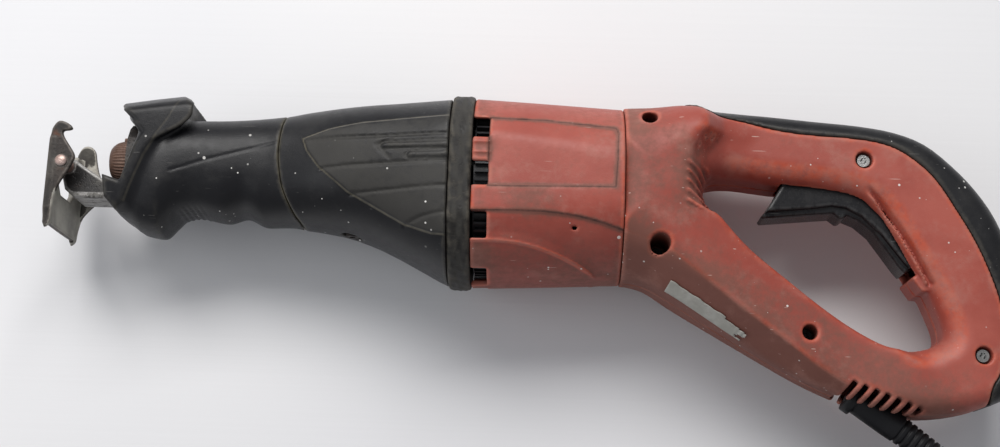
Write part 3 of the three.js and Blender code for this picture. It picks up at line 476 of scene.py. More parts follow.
def mould(name, low, high, pitch, shape, finish, grimeAndShade=None, line=None, rubAndHighlight=None, splash=None, relax=2):
    # a piece whose surface is where shape(x, y, z) is zero
    low = np.array(low, float)
    sizes = np.ceil((np.array(high) - low) / pitch).astype(int) + 1
    x, y, z = (low[k] + pitch * np.arange(sizes[k]) for k in range(3))
    field = shape(x[:, None, None], y[None, :, None], z[None, None, :])
    field = np.broadcast_to(np.maximum(field, -flatSide - z), sizes)  # nothing under the floor
    field = np.ascontiguousarray(field, dtype=np.float32) / pitch
    for axis in range(3):
        for end in (0, -1):
            edge = [slice(None)] * 3
            edge[axis] = end
            field[tuple(edge)] = np.maximum(field[tuple(edge)], 0.5)
    points, quads = netSurface(field)
    for _ in range(relax):
        points = points + 0.6 * (neighbourMean(points, quads) - points)
        slope = gradient(field, points)
        points = points - slope * (sample(field, points) / np.maximum((slope ** 2).sum(1), 0.05))[:, None]
    slope = gradient(field, points)
    slope /= np.linalg.norm(slope, axis=1)[:, None] + 1e-9
    wearAndHighlight = ((points - neighbourMean(points, quads)) * slope).sum(1)[:, None]
    for _ in range(3):
        wearAndHighlight = neighbourMean(wearAndHighlight, quads)
    wearAndHighlight = np.clip(wearAndHighlight[:, 0] * 9, -1, 1)
    points = low + pitch * points
    marks = {"wearAndHighlight": wearAndHighlight}
    px, py, pz = points.T
    # this mark is dirt on most pieces and painted shade on the trigger's faces turned away from its sides
    if grimeAndShade is not None:
        marks["grimeAndShade"] = np.clip(grimeAndShade(px, py, pz, slope), -1, 1)
    if line is not None:
        marks["line"] = line(px, py, pz)
    # extra edge brightening: real rubbing on some pieces, painted highlights and a painted reflection on
    # others
    if rubAndHighlight is not None:
        marks["wearAndHighlight"] = np.clip(wearAndHighlight + rubAndHighlight(px, py, pz), -1, 1)
    if splash is not None:
        marks["splash"] = splash(px, py, pz)
    print(name, len(quads) * 2, "triangles")
    return meshPiece(name, points, quads, finish, marks)


def place(piece, body, slot, *nodes):
    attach(piece, body)
    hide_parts(*nodes)
    return piece


def solidSides(side, mark):
    # marks only the tool's two sides, not its edges
    return mark * ramp(abs(side), 14, 20)


# Motor housing and collar
motor = {
    "front": -13.5, "rear": 61.2, "wall": 3, "ventDepth": 8,
    "stations": [(-13.5, 47.7, -49.6, 50), (20, 46.1, -48.1, 48.4), (61.2, 43.9, -46, 46.2)],
    "vents": [(17, 28.5), (-7, 5), (-32, -20)],
    "lowVent": (4, 22),
    "panel": [(-5.5, 28.6), (20, 28.4), (56.8, 25.2), (58, 22), (56.8, -6.5), (-5.5, -7.5)],
    "bevelLine": [(-16, -19.9), (15.9, -19.3), (34.3, -20.4), (50.4, -23.3), (64, -27.4)],
    "ridgeLine": [(-16, -33.3), (2.5, -33), (17.5, -34.9), (33.6, -39.5), (47.5, -45.3), (58, -52)],
}


def motorLines(x, y):
    panel = abs(region(x, y, np.array(motor["panel"])))
    bevel = path(x, y, steps(motor["bevelLine"], 4))
    ridge = path(x, y, steps(motor["ridgeLine"], 4))
    return panel, bevel, ridge


def motorShape(x, y, z):
    outer = loft(x, y, z, motor["stations"], 2.0, flatSide)
    side = ramp(abs(z), 8, 14)
    panel = region(x, y, np.array(motor["panel"]))
    _, bevel, ridge = motorLines(x, y)
    outer = outer + side * 0.9 * ramp(-panel, -0.5, 0.7)
    outer = outer + side * 0.9 * ramp(-bevel, -0.6, 1.2) * ramp(ridge, -0.3, 5)
    outer = outer - side * 0.5 * ramp(-abs(ridge), -1.1, -0.2)
    inner = loft(x, y, z, motor["stations"], 2.0, flatSide, motor["wall"])
    ribs = np.minimum(abs(y - 14.7), abs(y - 9.4))
    outer = outer - side * 0.7 * ramp(-ribs, -0.9, -0.3) * ramp(-x, 4, 5)
    shell = cutOut(outer, inner)
    shell = common(shell, np.maximum(motor["front"] - x, x - motor["rear"]), 0.8)
    shell = cutOut(shell, np.maximum(np.hypot((x - 37.2) / 1.5, y + 25.9) - 0.9, 30 - z), 0.3)
    spokes = np.minimum(block(x, y, z, (56.2, -45, -5), (61, 45, 5)),
                        block(x, y, z, (56.2, -5, -44), (61, 5, 44)))
    hub = np.maximum(np.maximum(56.2 - x, x - 61), rod(y, z, 17))
    spider = np.maximum(np.minimum(spokes, hub), 13.3 - np.hypot(y, z))
    shell = np.minimum(shell, np.maximum(spider, outer + 1))
    back = motor["front"] + motor["ventDepth"]
    for low, high in motor["vents"]:
        for sign in (1, -1):
            shell = cutOut(shell, block(x, y, sign * z, (-30, low, 25), (back, high, 60), 0.8), 0.5)
    low, high = motor["lowVent"]
    for sign in (1, -1):
        shell = cutOut(shell, block(x, y, sign * z, (-30, -60, low), (back, -40, high), 0.8), 0.5)
    return shell


def motorGrime(x, y, z, normal):
    lines = motorLines(x, y)
    front = ramp(-x, 0, 14) * 0.25
    worn = 0.35 * ramp(-np.hypot(x - 16, (y + 14) * 1.6), -24, -4)
    low = 0.3 * ramp(-y, 26, 46)
    creases = 0.45 * ramp(-np.minimum(lines[0], abs(lines[1])), -2.2, 0)
    rear = 0.3 * ramp(x, 56, 61)
    return front + worn + low + rear + solidSides(z, creases) - 0.02


def motorRidgeHighlight(x, y, z):
    # painted highlight along the ridge line, as a lighter edge colour
    _, _, ridge = motorLines(x, y)
    return solidSides(z, 0.75 * ramp(-abs(ridge), -1.3, -0.2))


def motorLine(x, y, z):
    panel, bevel, _ = motorLines(x, y)
    return solidSides(z, 0.7 * ramp(-np.minimum(panel, abs(bevel)), -0.8, -0.2))


housingPiece = mould("motor_housing_moulding", (-16, -52, -48), (64, 52, 48), 0.85, motorShape,
                     "worn_red_plastic", motorGrime, motorLine, motorRidgeHighlight,
                     lambda x, y, z: ramp(-abs(x - 35), -30, -10) * ramp(-y, 5, 25) * 0.9)
place(housingPiece, "housing", "housing_red", "motor_housing")

collar = {"front": -25, "rear": -13.8, "inner": 40,
          "stations": [(-30, 48.8, -50.5, 51), (-10, 48.8, -50.5, 51)]}


def collarShape(x, y, z):
    lumps = 0.35 * np.sin(x * 1.3 + y * 0.35) * np.sin(z * 0.42 + y * 0.21) * np.sin(x * 0.7 - z * 0.3)
    proud = np.where(z > 0, 0.9, 0.0)
    ring = common(loft(x, y, z, collar["stations"], 2.0) + lumps,
                  abs(z) - flatSide - proud + lumps * (z > 0), 1.5)
    ring = np.maximum(ring, collar["inner"] - np.hypot(y, z))
    return common(ring, np.maximum(collar["front"] - x, x - collar["rear"]), 1.8)


collarPiece = mould("collar_band_rubber", (-28, -54, -48), (-11, 54, 49), 0.8, collarShape, "collar_rubber",
                    lambda x, y, z, normal: 0.3 + 0.4 * np.sin(y * 0.3 + z * 0.17) * np.sin(x * 1.1))
place(collarPiece, "housing", "trim_black", "collar_band")

# Gear cover
coverStations = [
    (-124, 34.2, -20.2, 25), (-118, 34.8, -20.3, 25.5), (-110, 35.8, -20.8, 27), (-98, 38, -21.6, 30),
    (-79, 40.5, -24.3, 36), (-66, 41.9, -28.3, 38.7), (-53, 43, -34, 41), (-41, 44.1, -40.2, 43.6),
    (-25.3, 45.3, -48, 48), (-20, 45.6, -49.5, 49),
]
seam = [(-60, -84), (-40, -92), (-24, -98), (-17, -103.7), (-3, -109.6), (13, -111.7), (38, -110.4),
        (60, -109)]
cover = {
    "rear": -25.3, "wall": 4,
    "panel": [(-99.2, 18), (-85.9, 22.4), (-69.6, 25.4), (-43.9, 27.8), (-22.6, 29), (-22.6, -32),
              (-32.2, -30.7), (-46.3, -25.6), (-60.6, -17.7), (-75, -9.7), (-90.3, 3.1), (-96.6, 11.4)],
    "grooves": [[(-97, 16.9), (-60.8, 17.6), (-23, 18.5)], [(-89, 1.8), (-72.7, 2.9), (-23, 4.5)],
                [(-73.5, -11), (-46.6, -9.3), (-23, -7.7)], [(-46, -26), (-36.9, -22.8), (-23.2, -20.5)]],
    "bars": [[(-57, 12.4), (-23, 13)], [(-44, 7.3), (-23, 8)]],
    "arrow": [(-54, 5.8), (-61, 13), (-54, 15.4)],
}


def seamSide(x, y):
    return (x - smoothAt(y, [p[0] for p in seam], [p[1] for p in seam])) * 0.9


def coverMarks(x, y):
    panel = region(x, y, np.array(cover["panel"]))
    groove = np.minimum.reduce([abs(path(x, y, np.array(line))) for line in cover["grooves"]])
    bars = np.minimum.reduce([abs(path(x, y, np.array(line))) for line in cover["bars"]])
    arrow = abs(path(x, y, np.array(cover["arrow"])))
    return panel, groove, bars, arrow


def coverShape(x, y, z):
    outer = loft(x, y, z, coverStations, 2.5, flatSide)
    side = ramp(abs(z), 12, 18)
    panel, groove, bars, arrow = coverMarks(x, y)
    outer = outer - side * 0.9 * ramp(-panel, -0.4, 0.8)
    outer = outer + side * 0.8 * ramp(-groove, -1.1, -0.2)
    outer = outer + side * 0.5 * ramp(-arrow, -1.3, -0.3)
    outer = outer + side * 0.6 * ramp(-bars, -2.9, -2.1) - side * 1.1 * ramp(-bars, -1.7, -1.0)
    inner = loft(x, y, z, coverStations, 2.5, flatSide, cover["wall"])
    shell = cutOut(outer, inner)
    shell = common(shell, np.maximum(0.15 - seamSide(x, y), x - cover["rear"]), 0.7)
    screw = np.hypot(x + 75.3, z) - 5.2
    return cutOut(shell, np.maximum(screw, y + 5), 0.6)


def coverGrime(x, y, z, normal):
    panel = coverMarks(x, y)[0]
    worn = 0.55 + 0.25 * ramp(-x - 1.2 * y, -10, 70)
    return solidSides(z, worn * ramp(-panel, -0.6, 1.5)) + 0.1 * ramp(-y, 10, 40) - 0.15


def coverLine(x, y, z):
    panel = coverMarks(x, y)[0]
    seamRim = 0.7 * ramp(-abs(seamSide(x, y)), -1.3, -0.3)
    return np.maximum(solidSides(z, 0.9 * ramp(-abs(panel), -0.8, 0) * ramp(-x, 24, 26)), seamRim)


coverPiece = mould("gear_cover_moulding", (-116, -52, -48), (-23, 52, 48), 0.85, coverShape, "worn_rubber",
                   coverGrime, coverLine, None,
                   lambda x, y, z: ramp(-abs(y + 15), -26, -6) * ramp(-x, 15, 40))
place(coverPiece, "housing", "grip_black", "gear_cover")

# Front grip with its hand guard
gripStations = [
    (-206, 31, -9, 22), (-199, 31, -11.5, 22.5), (-196, 31, -15, 23), (-189, 31.2, -22.5, 24.6),
    (-181, 31.5, -27.3, 25.6), (-173, 31.8, -28.4, 26.2), (-168, 32, -23.5, 26), (-163, 32.1, -18.6, 25.7),
    (-156, 32.4, -16.9, 25.2), (-140.3, 33, -19.3, 25), (-130.7, 33.6, -16.7, 25),
    (-119.6, 34.8, -20.8, 25.5), (-108, 36.2, -20.3, 27.4), (-98, 38, -21.6, 30), (-90, 39.2, -22.6, 32.4),
]
noseStations = [
    (-210, 28, -12, 19), (-190, 30, -14.8, 21.2), (-157, 30, -14.8, 21.2), (-124, 31.6, -15.2, 21.4),
    (-110, 33.7, -16.5, 22.7), (-98, 36.7, -17.3, 25.7), (-88, 39, -18.2, 28.4),
]
guard = {
    "outline": [(-197.8, 39), (-195.8, 40.7), (-180, 43.3), (-165.5, 45.3), (-162, 43.6), (-162.5, 38),
                (-167.5, 27.6), (-173, 19.4), (-179, 8.2), (-184.8, -6.9), (-188, -15), (-192.5, -19.8),
                (-198.6, -13), (-200.1, -1.2), (-190.6, -4.5), (-186.4, 7.6), (-183.8, 16.8), (-184.2, 22.6),
                (-187, 26), (-192, 31), (-192.6, 34)],
    "blend": 6,
    "partLine": [(-166, 0.9), (-149.4, 6.8), (-113.2, 16.9), (-108, 18)],
}


def gripShape(x, y, z):
    barrel = loft(x, y, z, gripStations)
    low = smoothAt(y, [-30, -20, 0, 30, 46], [18, 24, 28, 29.5, 27])
    arch = (z / 27) ** 2 * ramp(y + 8 * (z / 27) ** 2, 22, 37)
    wing = common(region(x - 6.5 * arch, y + 7.6 * arch, np.array(guard["outline"])), abs(z) - low, 2.6)
    body = joined(barrel, wing, guard["blend"])
    # everything in front of the guard's open face is cut away
    body = common(body, region(x, y, np.array([(-260, 70), (-197.8, 39), (-192.6, 34), (-192, 31),
                                               (-184.2, 22.6), (-183.8, 16.8), (-190.6, -4.5),
                                               (-200.1, -1.2), (-198.6, -13), (-192.5, -20), (-183, -27),
                                               (-175.8, -29), (-160, -40), (-60, -40), (-60, 70)])), 1.4)
    part = abs(path(x, y, np.array(guard["partLine"])))
    body = body + 0.4 * ramp(-part, -0.9, -0.1) * ramp(abs(z), 12, 18)
    ridge = (np.sin((x + 0.6 * y) * 2.1) * ramp(-abs(x + 156), -8, -5) * ramp(-y, 10, 14)
             * ramp(-abs(z), -16, -10))
    body = body - 0.35 * ridge
    body = cutOut(body, loft(x, y, z, noseStations), 0.6)
    rail = block(x, y, z, (-215, -11.4, -11.1), (-186, -1.6, 11.1), 0.5)
    body = cutOut(body, rail, 0.5)
    return common(body, seamSide(x, y) + 0.15, 0.7)


def gripGrime(x, y, z, normal):
    return 0.25 * ramp(-abs(seamSide(x, y)), -3, 0) + 0.2 * ramp(-x, 176, 190) - 0.1


def gripLine(x, y, z):
    rim = abs(path(x, y, np.array([(-162, 41), (-162.5, 38), (-167.5, 27.6), (-173, 19.4), (-179, 8.2),
                                   (-184.8, -6.9), (-188, -15)])))
    return np.maximum(0.75 * ramp(-abs(seamSide(x, y)), -1.3, -0.3), 0.4 * ramp(-rim, -1.2, -0.3))


gripPiece = mould("front_grip_moulding", (-203, -33, -34), (-88, 50, 34), 0.75, gripShape, "worn_rubber",
                  gripGrime, gripLine, None,
                  lambda x, y, z: ramp(-np.hypot((x + 148) * 0.6, y + 6), -24, -8))
place(gripPiece, "housing", "grip_black", "front_grip")

# Handle
handle = {
    "front": 61.5, "wall": 3.2, "gap": 0.15,
    "outline": [(40, 45.1), (61.5, 43.8), (77, 43.2), (92, 42.3), (112, 41.8), (135, 40), (158, 38),
                (180, 36.2), (198, 33.2), (213, 27.4), (226, 17), (238, 4), (247.5, -11), (254, -29),
                (257.5, -50), (258.5, -70), (257, -86), (250, -98.5), (236, -105), (218, -108.5),
                (199, -108.5), (181, -104.5), (163, -98), (141, -87.6), (118.3, -74.2), (100, -63),
                (86, -54.3), (74.5, -48), (66, -46), (61.5, -45.9), (40, -46.9)],
    "window": [(102.7, 0), (104, 4.5), (108, 7), (118, 7.2), (137, 5), (157, 3.3), (174, 0.8), (184, -3.6),
               (190.5, -9), (195.5, -16.5), (200.5, -25.5), (205.5, -35), (211.8, -45.5), (216.8, -57),
               (220, -66), (219.8, -72), (214, -75.5), (208, -77.2), (201, -77.8), (192.5, -77),
               (184, -73.8), (172, -67), (157, -57), (141.5, -45.5), (124, -32.5), (111, -19.5), (105, -11),
               (103, -5)],
    "facet": [(50, -23.4), (61.8, -26.7), (71, -29.2), (80.8, -33), (92.2, -41.7), (106, -51.6),
              (123.5, -63.8), (143.3, -77.1), (158.1, -87.9), (175.1, -97.4), (187.3, -103.6),
              (199.5, -107.5), (240, -114)],
    "beamEdge": [(103, -5), (105, -11), (111, -19.5), (124, -32.5), (141.5, -45.5), (157, -57), (172, -67),
                 (184, -73.8), (193, -77.2)],
    "strip": [(84, 50), (87, 43), (95, 40.4), (105.4, 37.6), (122.3, 34.6), (137.8, 31), (153.2, 29),
              (172.6, 28), (189.3, 25.8), (202, 20.6), (215.7, 8.9), (226.6, -8), (236, -25), (243.5, -43.9),
              (247, -58), (248, -72), (245, -88), (240.5, -97), (239, -118)],
    "slot": [(142.5, 12), (140.6, 3), (137.8, -10), (209, -50), (211.5, -36), (205, -18), (197.5, -2),
             (188, 8), (174, 15.5), (141, 17)],
    "screws": [(181.5, 16.8, 16.4, 4.3), (237.2, -79.9, 16.4, 4.3), (79, -32.2, 8, 4.9),
               (152.9, -71.4, 8, 3.8), (73.6, 32.4, 8, 3.9)],
    "lip": [(183, 3.2), (187.6, -1.2), (191.6, -6.4), (200, -18.6), (208.6, -33.8), (214.3, -44.8)],
    "stop": [(207.3, -39.7), (205.4, -41.2), (210, -47.8), (214, -48), (216.5, -43.5), (213.5, -39.5)],
}
bootTurn = -0.61
bootFrom = np.array([176.0, -98.0])
bootWay = np.array([math.cos(bootTurn), math.sin(bootTurn)])
handleEdges = {key: steps(handle[key], 3, key in ("outline", "window")) for key in
               ("outline", "window", "facet", "beamEdge", "strip", "lip")}


def handleSolid(x, y, z, inset=0.0):
    outer = region(x, y, handleEdges["outline"])
    window = region(x, y, handleEdges["window"])
    beam = abs(path(x, y, handleEdges["beamEdge"]))
    beamFace = smoothAt(x, [55, 61.5, 74, 90, 110, 130, 150, 175, 270],
                        [45, 45, 44, 41, 35, 29.5, 25.4, 22.3, 22])
    along = x - smoothAt(y, [5, 15, 22, 28, 33, 45], [0, 1.5, 5, 9, 9, 1])
    barFace = smoothAt(along, [55, 61.5, 74, 88, 92, 97, 103, 110, 122, 270],
                       [45, 45, 44, 42.6, 41, 34, 26.5, 24, 22.3, 22])
    face = beamFace + (barFace - beamFace) * ramp(y, -16, 1)
    outerRound = smoothAt(x, [61.5, 74, 90, 110, 135, 200, 270], [41, 36, 24, 14, 10.5, 10, 10])
    innerRound = 3 + 9.5 * ramp(beam - window, 1.5, 12) * ramp(x, 98, 112)
    height = abs(z) - face
    body = common(outer + inset, height + inset, outerRound)
    wallLean = 0.22 * np.maximum(abs(z) - 8, 0) * ramp(-x, -112, -100) * ramp(y, -22, -8)
    body = common(body, wallLean - window + inset, innerRound)
    facet = -path(x, y, handleEdges["facet"])
    bevel = 0.857 * facet + 0.515 * height
    return common(body, bevel + inset, 1.6)


def handleShape(x, y, z):
    body = handleSolid(x, y, z)
    hollow = handleSolid(x, y, z, handle["wall"])
    shell = np.maximum(body, -hollow)
    for sx, sy, seat, radius in handle["screws"]:
        shell = np.minimum(shell, np.maximum(np.hypot(x - sx, y - sy) - radius - 2, body + 0.2))
    # ribs on the wall in front of the window
    ribs = ramp(-abs(x - 98), -8, -5) * ramp(-abs(y + 3), -13, -11) * ramp(abs(z), 12, 18)
    shell = shell - ribs * (1.4 * np.sin((0.9 * y + 0.45 * x) * 2 * np.pi / 4.4).clip(-0.3, 1))
    # raised lip beside the trigger, with a groove behind it
    lip = path(x, y, handleEdges["lip"])
    ends = ramp(x, 182, 187) * ramp(y, -46, -44.5) * ramp(abs(z), 9, 12)
    shell = shell + 1.7 * ends * ramp(-abs(lip), -1.5, -0.3)
    shell = shell - 1.2 * ends * ramp(-lip, 0.9, 1.6) * ramp(lip, -5.2, -4.2)
    # ridge along the top edge, in front of the soft strip
    shell = shell - 1.3 * ramp(-abs(z), -10, -8.6) * ramp(-abs(x - 101), -23.5, -21) * ramp(y, 32, 36)
    return shell


def handleCuts(x, y, z, shell):
    outlineSlot = region(x, y, np.array(handle["slot"]))
    shell = cutOut(shell, np.maximum(outlineSlot, abs(z) - 12.6), 0.4)
    for sx, sy, seat, radius in handle["screws"]:
        shell = cutOut(shell, np.maximum(np.hypot(x - sx, y - sy) - radius, seat - z), 0.7)
        shell = np.maximum(shell, -np.maximum(np.hypot(x - sx, y - sy) - 2.3, -14 - z))
    # cooling slots at the heel, on both sides and through the edge
    for i in range(7):
        along = 171.5 + 5.3 * i
        lean = (x - along) * 0.8 - (y + 99.5 + 2.1 * i * 0.9) * 0.6
        reach = (x - along) * 0.6 + (y + 99.5 + 2.1 * i * 0.9) * 0.8
        slot = np.maximum(np.maximum(abs(lean) - 1.45, abs(reach + 1.5) - 8),
                          np.maximum(3.5 - abs(z), abs(z) - 30))
        shell = cutOut(shell, slot, 0.4)
    stop = common(region(x, y, np.array(handle["stop"])), abs(z) - 14.5, 1.2)
    shell = np.minimum(shell, stop)
    bx, by = x - bootFrom[0], y - bootFrom[1]
    along = bx * bootWay[0] + by * bootWay[1]
    across = -bx * bootWay[1] + by * bootWay[0]
    bore = np.hypot(across, z) - np.where(along < 5.7, 9.6, 8.1)
    return np.maximum(shell, -np.maximum(bore, -6 - along))


def shellHalf(side):
    # side is 1 for the left shell and -1 for the right one
    def shape(x, y, z):
        shell = common(handleShape(x, y, z), stripRegion(x, y, z) + handle["gap"], 0.6)
        shell = common(shell, handle["front"] - x, 0.7)
        return np.maximum(handleCuts(x, y, z, shell), handle["gap"] - side * z)
    return shape


def stripRegion(x, y, z):
    # positive where the soft strip is
    beyond = path(x, y, handleEdges["strip"])
    return np.minimum(beyond, np.maximum(x - 125, abs(z) - 10))


def stripShape(x, y, z):
    body = np.maximum(handleSolid(x, y, z, -0.25), -handleSolid(x, y, z, handle["wall"]))
    return common(body, handle["gap"] - stripRegion(x, y, z), 0.8)


def handleGrime(x, y, z, normal):
    facet = -path(x, y, handleEdges["facet"])
    bevel = 0.22 * ramp(facet, -1.5, 1.5) * ramp(-x, -240, -190) + 0.36 * ramp(facet, 4, 16)
    bevel = bevel + 0.2 * ramp(facet, -9, 0)
    front = 0.34 * ramp(-x, -100, -64) + 0.3 * ramp(-abs(x - 92), -12, 0) * ramp(-abs(y - 2), -30, -10)
    beam = 0.24 * ramp(-y, 15, 60) * ramp(-x, -235, -190)
    grip = -0.3 * ramp(x, 175, 215) * ramp(y, -95, -60)
    soft = -0.36 * ramp(-region(x, y, handleEdges["window"]), -13, -4) * ramp(x, 108, 130) * ramp(y, -60, -40)
    tail = 0.3 * ramp(-np.hypot((x - 208) * 0.5, y + 106), -16, -3)
    return bevel + front + beam + grip + soft + tail


def handleRubAndHighlight(x, y, z):
    # cleaner and brighter where hands wear the window edge; the facet edge gets a painted highlight
    edge = region(x, y, handleEdges["window"])
    rubAndHighlight = (0.5 * ramp(-abs(edge - 6), -6, -1) * ramp(x, 104, 120)
           * (1 - ramp(-y, 20, 45) * ramp(-x, -205, -190)))
    facet = abs(path(x, y, handleEdges["facet"]))
    return rubAndHighlight + 0.35 * ramp(-facet, -1.5, 0)


def handleLine(x, y, z):
    facet = abs(path(x, y, handleEdges["facet"]))
    return 0.35 * ramp(-facet, -0.9, 0) * ramp(-x, -190, -170) * ramp(abs(z), 8, 12)


for hand, side, low, high, splash in (
        ("left", 1, -2, 48, lambda x, y, z: ramp(-np.hypot((x - 125) * 0.5, y + 72), -32, -8)),
        ("right", -1, -48, 2, None)):
    shellPiece = mould(f"handle_shell_{hand}_moulding", (58, -112, low), (262, 49, high), 0.95,
                       shellHalf(side),
                       "worn_red_plastic", handleGrime, handleLine, handleRubAndHighlight, splash)
    place(shellPiece, "housing", "housing_red", f"handle_shell_{hand}")
stripPiece = mould("soft_strip_moulding", (80, -114, -30), (263, 50, 30), 0.85, stripShape, "worn_rubber")
place(stripPiece, "housing", "grip_black", "soft_strip")

# Trigger
trigger = {
    "half": 12,
    "side": [(143, 7), (133.2, -9.6), (135, -8.4), (157, -6.2), (167, -4.7), (174, -5.6), (182, -9.6),
             (191.6, -18.6), (202.5, -33), (205, -35.5), (207.5, -35.5), (208.2, -33.5), (201.5, -19),
             (195, -6.5), (185, 3.5), (172, 8.5)],
    "lower": [(143, 4), (131.9, -10.6), (133, -11.6), (157, -9.2), (168, -8.2), (171.6, -10.9),
              (173.2, -10.6), (175, -9.2), (181, -11.6), (188, -17.5), (200.5, -35), (203, -37.8),
              (206, -36.5), (195, -12), (180, 0)],
}


def triggerShape(x, y, z):
    side = common(region(x, y, np.array(trigger["side"])), abs(z) - trigger["half"], 1.4)
    lower = common(region(x, y, np.array(trigger["lower"])), abs(z) - trigger["half"] + 2.6, 2.2)
    body = joined(side, lower, 1.0)
    hollow = region(x, y, np.array([(147, 10), (142, -4), (165, -1.5), (178, -3.5), (186, -8), (190, -4),
                                    (181, 2), (170, 10)]))
    body = cutOut(body, np.maximum(hollow, abs(z) - 9.5), 0.5)
    pin = np.maximum(np.hypot(x - 206, y + 32) - 3.2, abs(z) - trigger["half"])
    return np.minimum(body, pin)


# faces turned away from the trigger's sides are marked below zero: painted shade, with less dirt and no
# scratches so they stay black
triggerPiece = mould("trigger_moulding", (129, -41, -14), (211, 11, 14), 0.5, triggerShape, "trigger_plastic",
                     lambda x, y, z, normal: np.where(abs(normal[:, 2]) < 0.6, -0.95, 0.1))
place(triggerPiece, "trigger", "trim_black", "trigger")
print("mouldings")

# Shoe, rivets, rail, blade clamp
shoe = {
    "front": -228, "half": 24, "plate": 3.2, "ear": 3, "pivot": (-221.4, 5), "bore": 2.7,
    "outline": [(-228, -27), (-228.2, 0), (-228, 18), (-227, 23), (-224.6, 25.8), (-221.6, 25.6),
                (-218.4, 23.8), (-217.4, 22), (-219, 21.2), (-221.8, 20.6), (-221.4, 18), (-218, 13),
                (-215.4, 9), (-215.2, 6.2), (-217.4, 1), (-221.8, -7), (-224, -14), (-224.4, -20),
                (-224.6, -27)],
    "farOutline": [(-228, -27), (-228.2, 0), (-228, 16), (-227, 21.5), (-224.6, 24.8), (-221.2, 25),
                   (-218.4, 22.4), (-217.2, 17), (-215.6, 11), (-213, 5), (-210.4, 0), (-211.6, -3),
                   (-217, -8), (-222, -14), (-224.2, -20), (-224.6, -27)],
}


def fromPivot(x, y):
    return np.hypot(x - shoe["pivot"][0], y - shoe["pivot"][1])


def shoeShape(x, y, z):
    near = region(x, y, steps(shoe["outline"], 3, True))
    far = region(x, y, steps(shoe["farOutline"], 3, True))
    ear = np.where(z > 0, near, far)
    ears = common(ear, abs(abs(z) - shoe["half"] + shoe["ear"] / 2) - shoe["ear"] / 2, 0.9)
    sheet = region(y, z, np.array([(17, -24), (-19, -24), (-27, -19.5), (-27, 19.5), (-19, 24), (17, 24),
                                   (17, 14.2), (13, 12.2), (-5, 12.2), (-9, 8), (-9, -8), (-5, -12.2),
                                   (13, -12.2), (17, -14.2)]))
    plate = common(sheet, abs(x - shoe["front"] - 1.6 - 0.012 * (z * z) * 0.06) - shoe["plate"] / 2, 1.0)
    return np.maximum(joined(ears, plate, 2.5), shoe["bore"] - fromPivot(x, y))


shoePiece = mould("shoe_pressing", (-231, -30, -27), (-213, 28.5, 27), 0.45, shoeShape, "rusty_steel",
                  lambda x, y, z, normal: np.where(normal[:, 0] > 0.4, -0.6, 0.15) + 0.2 * np.sin(y * 0.4))
innerFaces = [face for face in shoePiece.data.polygons
              if (face.normal.x > 0.5 and face.center.x * 1000 - origin[0] * 1000 < -223)
              or (face.normal.z > 0.5 and face.center.z * 1000 - origin[2] * 1000 < 0)]
shoePiece.data.materials.append(finishes["dusty_steel"])
for face in innerFaces:
    face.material_index = 1
place(shoePiece, "shoe", "rusty_steel", "shoe")


rivet = {"shank": 2.4, "shankEnds": (3.5, 24.3), "neck": 3, "neckEnds": (11.3, 20.7), "head": 3.1,
         "seat": 24.15}


def rivetShape(sign):
    def shape(x, y, z):
        r = fromPivot(x, y)
        z = z * sign
        shank, neck = (np.maximum(r - rivet[part], np.maximum(rivet[ends][0] - z, z - rivet[ends][1]))
                       for part, ends in (("shank", "shankEnds"), ("neck", "neckEnds")))
        dome = np.maximum(np.hypot(r, (z - rivet["seat"]) * 1.8) - rivet["head"], rivet["seat"] - z)
        return np.minimum(np.minimum(shank, neck), dome)
    return shape


for name, sign, low, high in (("left", 1, 2.5, 27), ("right", -1, -27, -2.5)):
    rivetPiece = mould(f"shoe_rivet_{name}_turned", (-226.5, -0.5, low), (-216.5, 10.5, high), 0.3,
                       rivetShape(sign), "rivet_steel")
    place(rivetPiece, "shoe", "worn_steel", f"shoe_rivet_{name}")

rail = {
    "head": [(-225.8, 5), (-224.2, 8.4), (-221.4, 9.6), (-218, 9), (-214, 6), (-202, -1.5), (-200.5, -3),
             (-200.5, -10.8), (-217.4, -10.8), (-222.6, -6.5)],
    "headHalf": 11,
    "bar": ((-203, -10.8, -10.5), (-100, -7.6, 10.5)),
    "fork": ((-240, -5, -3.2), (-199.5, 30, 3.2)),
    "slot": ((-198, -20, -3), (-188, 0, 3)),
}


def railShape(x, y, z):
    bar = block(x, y, z, *rail["bar"], 0.8)
    head = common(region(x, y, np.array(rail["head"])), abs(z) - rail["headHalf"], 1.2)
    head = cutOut(head, block(x, y, z, *rail["fork"], 0.3), 0.4)
    body = np.minimum(head, bar)
    body = np.maximum(body, shoe["bore"] - fromPivot(x, y))
    body = cutOut(body, block(x, y, z, *rail["slot"], 2.5), 0.4)
    return cutOut(body, np.maximum(np.hypot(y + 11.6, z) - 1.6, x + 201), 0.4)


# the last mark is a painted reflection: a lighter edge colour along the bar's lower strip
railPiece = mould("shoe_rail_forging", (-228, -13, -13), (-98, 12, 13), 0.5, railShape, "dark_rail",
                  lambda x, y, z, normal: 0.2 * ramp(-x, 196, 206) * ramp(y, -8, -4), None,
                  lambda x, y, z: 0.9 * ramp(-y, 7.4, 8.6) * ramp(-x, 100, 110))
place(railPiece, "rail", "worn_steel", "shoe_rail")


sleeve = {"front": -202, "rear": -183, "axis": 10.8, "flutes": 40, "step": -196, "frontBore": 6.2,
          "rearBore": 8.3}


